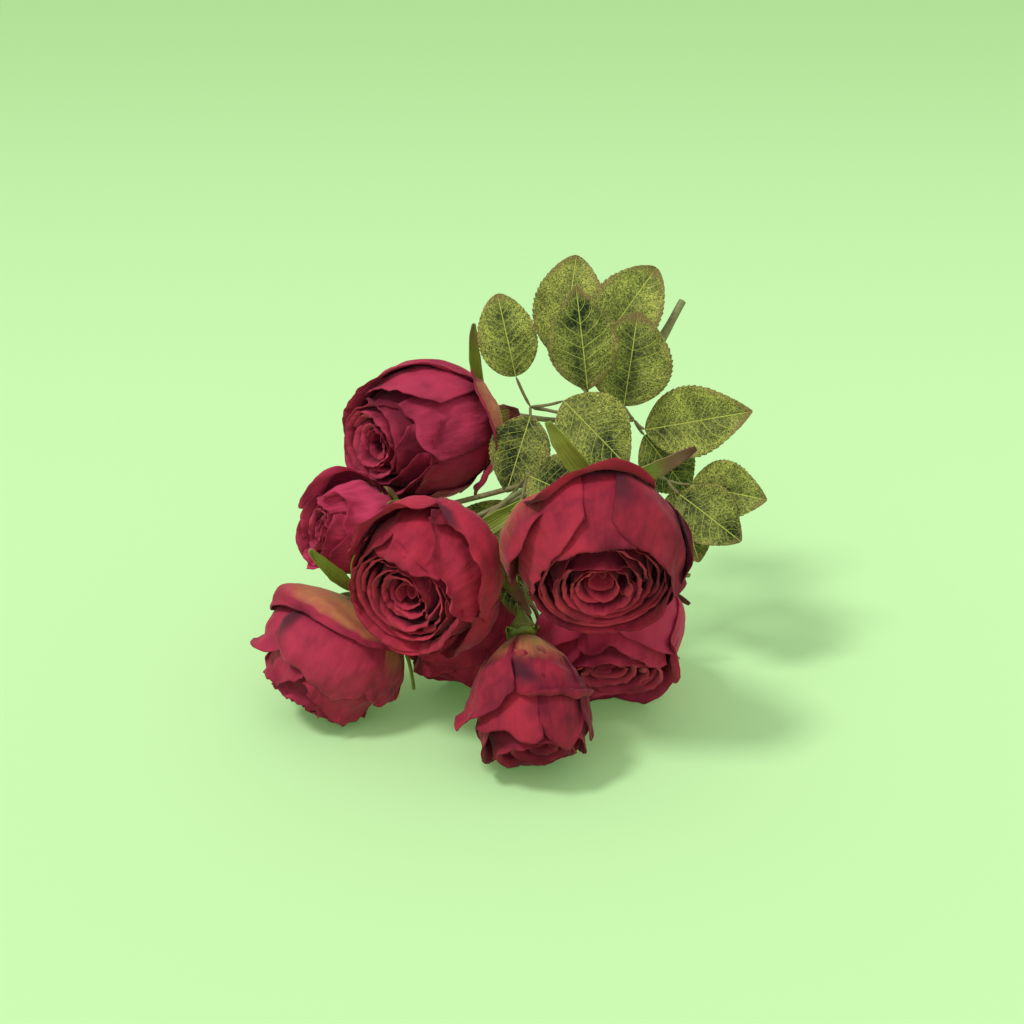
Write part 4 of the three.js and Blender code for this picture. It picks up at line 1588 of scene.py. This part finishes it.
                belly=(7, 6, 3, 0), lift=(1.6, 0.6, 0, 0), curl=(25, 10, 20), tone=0.05,
                peach=(0.2, 0.2, 0.2, 0.45, 0.8)),
            deg(-12, 84, 0.86, 1.12, 1.08, 1.05, 1.03, 1.02, 0.9, layer=(0.98, 0.985, 0.975),
                belly=(0, 1, 4, 6, 7), lift=(0, 0.5, 0.5, 1.8), curl=(45, 40, 15, 5, 5),
                smudge=(1.0, 0.55, 9, 1.1, 2.6), tone=-0.1),
            deg(-92, 12, 0.90, 1.0, 1.06, 1.06, 1.0, layer=(0.97, 0.95), curl=(25, 30, 20), tone=0.03),
            deg(190, 302, 0.93, 0.98, 0.99, 0.98, 0.98, 0.94, layer=(0.96,), curl=(35, 45, 35), roll=0.84, tone=0.06),
            deg(212, 300, 0.74, 0.84, 0.88, 0.85, 0.78, layer=(0.98,), lift=(1, 1, 1), curl=(15,)),
        ),
        whorls=((0.88, 3, 0.98), (0.77, 3, 0.99), (0.62, 3, 1.02), (0.50, 3, 1.03), (0.38, 3, 1.03), (0.27, 2, 1.0)),
        heart_rise=0.99, blush=0.25, tone=-0.18, heart_tone=0.08, heart_slide=(-2.0, -7.0),
        open_sepals=((18, -50, 174, 0, 1.0), (94, -46, 158, 0, 1.0)),
        shut_sepals=(180, 230, 290), sepal_flush=(0.0, 0.75),
    ),
    RoseHead(
        6, (58, -26, 42), (0.05, -0.77, -0.63), 37, 60, 0.94, 0.84, 0.3,
        outer=(
            deg(114, 186, 0.80, 0.86, 0.88, 0.88, 0.88, 0.72, layer=(1.0,), lift=(2, 4, 6, 8, 6),
                curl=(15, 50, 80, 70), roll=0.68, tone=0.2, crumple=0.8),
            deg(16, 103, 0.90, 0.92, 0.92, 0.88, 0.84, 0.76, 0.66, layer=(0.98,), lift=(2, 1, 1, 1.5),
                curl=(50, 30, 10, 5), tone=0.0),
            deg(55, 122, 0.98, 1.0, 0.97, 0.9, 0.96, 0.96, 0.86, layer=(0.96,), curl=(25,), tone=-0.02),
            deg(118, 190, 0.95, 1.02, 1.02, 0.98, 0.9, layer=(0.95,), lift=(1, 1), curl=(20,), tone=0.06),
            deg(175, 262, 0.6, 0.85, 0.92, 0.9, 0.8, layer=(0.98,), lift=(6, 4, 2), curl=(20,), tone=-0.15),
            deg(250, 340, 0.8, 0.92, 0.95, 0.9, 0.85, layer=(0.98,), lift=(1, 2), curl=(30,)),
            deg(-36, 34, 0.85, 0.98, 1.03, 1.02, 0.9, layer=(0.97,), lift=(1, 2, 3), curl=(40, 60)),
            deg(185, 280, 0.95, 1.03, 1.05, 1.03, 0.95, layer=(0.95,), curl=(35, 50)),
            deg(268, 352, 0.95, 1.03, 1.06, 1.03, 0.95, layer=(0.95,), lift=(1, 1), curl=(45, 55)),
            deg(20, 80, 0.95, 1.02, 1.03, 1.0, 0.95, layer=(0.93,), curl=(30,)),
        ),
        whorls=((0.84, 3, 1.0), (0.7, 3, 1.0), (0.56, 3, 0.99), (0.42, 3, 0.98), (0.3, 2, 0.95)),
        heart_rise=1.0, blush=0.7, tone=0.35, lean=(-8.5, 2.0), shut_sepals=(100, 170, 240),
        open_sepals=((98, 4, 60, 0, 0.8), (98, 0, 44, 0, 0.8)), sepal_flush=(0.3, 1.3),
    ),
    RoseHead(
        7, (9, -96, 41), (0.1, -0.67, -0.73), 31, 63, 0.94, 0.80, 0.88, cup=(0.15, 0.36, 0.62, 0.82, 0.93),
        outer=(
            deg(14, 116, 0.62, 0.68, 0.72, 0.72, 0.73, 0.70, 0.6, 0.5, layer=(0.99,), lift=(1, 2, 2, 2, 1.5, 1),
                curl=(90, 170, 205, 210, 200, 150, 60, 10), roll=0.83, peach=0.26, crumple=1.1,
                smudge=(0.84, 0.62, 11, 1.3), tone=0.0),
            deg(104, 192, 0.58, 0.68, 0.74, 0.76, 0.78, 0.64, layer=(1.0,), lift=(3, 2.5, 2.5, 3.5, 4.5),
                curl=(20, 25, 50, 60), roll=0.7, peach=0.2, taper=0.25, tone=0.04, crumple=0.8),
            deg(168, 215, 0.35, 0.5, 0.55, 0.45, layer=(0.99,), lift=(2, 4, 3), curl=(10,), peach=0.3, tone=-0.05),
            deg(82, 152, 0.95, 0.99, 0.97, 0.86, 0.84, 0.86, 0.8, layer=(0.96,), lift=(1, 1, 1.5),
                curl=(20, 15, 40), tone=0.04, smudge=(0.2, 0.7, 9, 0.4)),
            deg(30, 84, 0.80, 0.98, 1.04, 1.02, 0.97, 0.88, layer=(0.96, 0.97), lift=(1, 1.5, 1), curl=(10, 0),
                smudge=(0.85, 0.35, 10, 1.2)),
            deg(-30, 38, 0.7, 0.8, 0.92, 0.92, 0.8, layer=(0.98,), lift=(1, 2, 3), curl=(10,), tone=-0.25),
            deg(200, 285, 0.7, 0.85, 0.9, 0.85, 0.75, layer=(0.98,), lift=(1, 2, 1), curl=(25,)),
            deg(270, 340, 0.7, 0.85, 0.9, 0.85, 0.75, layer=(0.98,), lift=(1, 2, 1), curl=(25,)),
            deg(140, 240, 0.85, 0.98, 1.0, 0.97, 0.9, layer=(0.95, 0.92), curl=(35,)),
            deg(228, 320, 0.88, 0.98, 1.0, 0.97, 0.9, layer=(0.95, 0.92), curl=(30,)),
            deg(-45, 45, 0.88, 0.98, 1.0, 0.97, 0.9, layer=(0.93, 0.9), curl=(25,)),
        ),
        whorls=((0.8, 3, 1.0), (0.62, 3, 0.99), (0.45, 3, 0.97),
            (0.3, 2, 0.94)), heart_rise=0.99, blush=0.3, tone=-0.25,
        shut_sepals=(18, 104, 166, 234, 306), shut_reach=0.15,
    ),
    RoseHead(
        8, (-20, -18, 36), (-0.25, -0.5, -0.83), 32, 56, 0.94, 0.72, 0.75,
        outer=(
            deg(60, 160, 0.7, 0.85, 0.9, 0.88, 0.8, layer=(1.0,), lift=(2, 3, 2), curl=(25,), tone=-0.1),
            deg(-20, 75, 0.7, 0.85, 0.9, 0.85, 0.75, layer=(1.0,), lift=(2, 3, 2), curl=(30,), tone=-0.1),
            deg(150, 240, 0.7, 0.85, 0.9, 0.85, 0.75, layer=(1.0,), lift=(1, 2, 1), curl=(30,),
                peach=(0.3, 0.8, 0.8, 0.4)),
            deg(230, 345, 0.7, 0.85, 0.9, 0.88, 0.8, layer=(1.0,), lift=(1, 2, 1), curl=(30,)),
            deg(20, 115, 0.92, 1.0, 1.02, 0.99, 0.9, layer=(0.96,), curl=(35,)),
            deg(100, 195, 0.92, 1.0, 1.02, 0.99, 0.9, layer=(0.96,), curl=(35,)),
            deg(180, 275, 0.92, 1.0, 1.02, 0.99, 0.9, layer=(0.96,), curl=(35,)),
            deg(260, 385, 0.92, 1.0, 1.02, 0.99, 0.9, layer=(0.96,), curl=(35,)),
        ),
        whorls=((0.8, 3, 1.0), (0.6, 3, 0.99), (0.42, 3, 0.97), (0.28, 2, 0.94)), heart_rise=0.98, blush=0.4,
        shut_sepals=(36, 108, 180, 252, 324),
    ),
)

SPRIGS = (
    Sprig(1, 0.12, (10, 38, 146), (
        Leaf(1, (2, 40, 163), (-8, 52, 206), 32, tone=0.1, blunt=1.0),
        Leaf(2, (10, 30, 144), (-3, 8, 108), 33, tone=-0.3),
        Leaf(3, (28, 24, 155), (62, 2, 126), 42, tone=0.0),
    )),
    Sprig(2, -0.1, (40, 50, 150), (
        Leaf(4, (41, 30, 159), (34, 38, 216), 38, tone=-0.15, rust=0.15, blunt=0.0),
        Leaf(5, (28, 76, 160), (36, 100, 212), 40, tone=0.3, rust=0.1, blunt=0.8),
        Leaf(6, (46, 68, 166), (80, 84, 210), 40, tone=0.15, rust=0.2, blunt=0.9),
    )),
    Sprig(3, -0.02, (67, 38, 138), (
        Leaf(7, (61, 34, 148), (68, 44, 199), 45, rust=0.2, blunt=0.7),
        Leaf(8, (73, 36, 133), (129, 14, 153), 39, tone=0.25, rust=0.1, blunt=0.2),
        Leaf(9, (73, 40, 128), (98, 44, 92), 32, tone=-0.3),
    )),
    Sprig(4, 0.35, (85, 22, 109), (
        Leaf(10, (98, 16, 109), (137, -4, 109), 33, tone=0.15),
        Leaf(11, (91, 10, 106), (123, -14, 89), 34, rust=0.1),
        Leaf(12, (89, 24, 102), (103, 8, 66), 32, tone=-0.1),
    )),
    Sprig(5, 0.55, (8, -6, 124), (
        Leaf(13, (9, -12, 127), (41, -28, 118), 36, tone=-0.3),
        Leaf(14, (2, -20, 104), (3, -38, 56), 32, tone=-0.35, rust=0.1),
        Leaf(15, (-4, 14, 100), (-26, 34, 58), 32, tone=-0.2),
    )),
)


@dataclass
class Stems:
    """The main stem and the branch of each rose."""

    path: StemPath

    def main(self, tree: TubeTree) -> bpy.types.Object:
        """The main stem, from its cut end to its rounded inner end.

        Args:
            tree: the tree that grows tubes.

        Returns:
            The piece.
        """
        count = 60
        points = np.array([self.path.at(share) for share in np.linspace(0, 1, count)])
        inner = points[-1] + unit(points[-1] - points[-2]) * np.linspace(0.8, 2.6, 4)[:, None]
        slender = 0.72 + 0.28 * ease(0.08, 0.4, np.linspace(0, 1, count))
        girth = MAIN_STEM_RADIUS * np.concatenate([slender, [0.95, 0.8, 0.55, 0.2]])
        return tree.grow("main_stem_tube", [(np.concatenate([points, inner]), girth, 0.0)], sides=18)

    def branch(self, tree: TubeTree, rose: RoseHead) -> bpy.types.Object:
        """One rose's own stem, bending from the main stem to its calyx.

        Args:
            tree: the tree that grows tubes.
            rose: the head it carries.

        Returns:
            The piece.
        """
        foot = np.array(rose.centre, float) - rose.axis * (rose.height / 2 + 14 + SEAM)
        start, leave, _ = self.path.leave(rose.station, foot, BRANCH_RADIUS, True)
        span = float(np.linalg.norm(foot - start))
        line = bezier([start, start + leave * span / 3, foot - rose.axis * 14, foot], 30)
        return tree.grow(f"rose_{rose.number}_stem_tube", [(line, rounded(BRANCH_RADIUS, 30, 0.6, 0.8), 0.1)])


@dataclass
class Studio:
    """The table, the light and the camera."""

    camera_place: tuple[float, float, float] = (-2.6957, -1095.583, 619.821)
    camera_lens: float = 80.0
    camera_down: float = 25.0
    light_side: float = -60.0
    light_height: float = 58.0
    light_power: float = 1.40
    light_softness: float = 12.0
    fill_power: float = 0.45
    fill_height: float = 45.0
    fill_softness: float = 60.0
    sky: float = 0.54

    def build(self, table: bpy.types.Material) -> None:
        """Sets up everything that isn't the bunch.

        Args:
            table: the table top's finish.
        """
        scene = bpy.context.scene
        mesh = bpy.data.meshes.new("table_top")
        mesh.from_pydata([(-60, -60, 0), (60, -60, 0), (60, 60, 0), (-60, 60, 0)], [], [(0, 1, 2, 3)])
        mesh.materials.append(table)
        top = bpy.data.objects.new("table_top", mesh)
        scene.collection.objects.link(top)
        self._sun("soft_key", self.light_power, self.light_softness, self.light_side, self.light_height)
        self._sun("soft_fill", self.fill_power, self.fill_softness, 0.0, self.fill_height)
        world = bpy.data.worlds.new("soft_room")
        world.use_nodes = True
        background = world.node_tree.nodes["Background"]
        background.inputs["Color"].default_value = (1.0, 1.0, 1.0, 1.0)
        background.inputs["Strength"].default_value = self.sky
        scene.world = world
        scene.view_settings.view_transform = "Standard"
        lens = bpy.data.cameras.new("view")
        lens.lens = self.camera_lens
        lens.sensor_width = 36.0
        lens.clip_end = 200.0
        camera = bpy.data.objects.new("view", lens)
        camera.location = [part * MM for part in self.camera_place]
        camera.rotation_euler = (math.radians(90 - self.camera_down), 0, 0)
        scene.collection.objects.link(camera)
        scene.camera = camera

    @staticmethod
    def _sun(name: str, power: float, softness: float, side: float, height: float) -> None:
        """Adds one wide, soft light.

        Args:
            name: its name.
            power: how strong it is.
            softness: how wide it looks, in degrees.
            side: degrees that it stands round from the front, negative to the left.
            height: degrees that it stands above the table.
        """
        lamp = bpy.data.lights.new(name, "SUN")
        lamp.energy = power
        lamp.angle = math.radians(softness)
        light = bpy.data.objects.new(name, lamp)
        round_z = Matrix.Rotation(math.radians(side), 4, "Z")
        light.matrix_world = round_z @ Matrix.Rotation(math.radians(90 - height), 4, "X")
        bpy.context.scene.collection.objects.link(light)


def settle(piece: bpy.types.Object, slot: Slot, *nodes: str) -> None:
    """Fixes a piece to the bunch, in place of the frame's nodes.

    Args:
        piece: the finished piece.
        slot: the finish it belongs to; not used.
        nodes: the frame's nodes that it stands in for.
    """
    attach(piece, BODY)
    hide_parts(*nodes)
    LOG.info("%s: %d faces for %s", piece.name, len(piece.data.polygons), ", ".join(nodes))


def main() -> None:
    """Builds the bunch, piece by piece."""
    logging.basicConfig(level=logging.INFO, format="%(name)s: %(message)s")
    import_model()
    Studio().build(TablePaint().make())
    outer_cloth = PetalCloth("petal_cloth").make()
    # The heart cloth is a lighter, pinker copy of the petal cloth: its extra lightness is painted light lifting the
    # shade inside the mouths, and its painted shade darkens it again deep between the petals.
    heart_cloth = PetalCloth("heart_cloth", warm=linear(208, 56, 78), cool=linear(204, 68, 100), depth=0.85).make()
    leaf_print, sepal, stem = LeafPrint().make(), SepalPlastic().make(), StemPlastic().make()
    tree, path = TubeTree(stem), StemPath()
    stems = Stems(path)
    settle(stems.main(tree), Slot.STEM, "main_stem")
    for rose in ROSES:
        settle(rose.petals(outer_cloth), Slot.PETALS, f"rose_{rose.number}_petals")
        settle(rose.heart(heart_cloth), Slot.HEART, f"rose_{rose.number}_heart")
        settle(rose.calyx(sepal), Slot.SEPALS, f"rose_{rose.number}_calyx")
        settle(stems.branch(tree, rose), Slot.STEM, f"rose_{rose.number}_stem")
    for sprig in SPRIGS:
        settle(tree.grow(f"sprig_{sprig.number}_stalks", sprig.lines(path), sides=10), Slot.STEM,
            f"sprig_{sprig.number}")
        for leaf in sprig.leaves:
            settle(leaf.build(leaf_print), Slot.LEAVES, f"leaf_{leaf.number}")


if __name__ == "__main__":
    main()
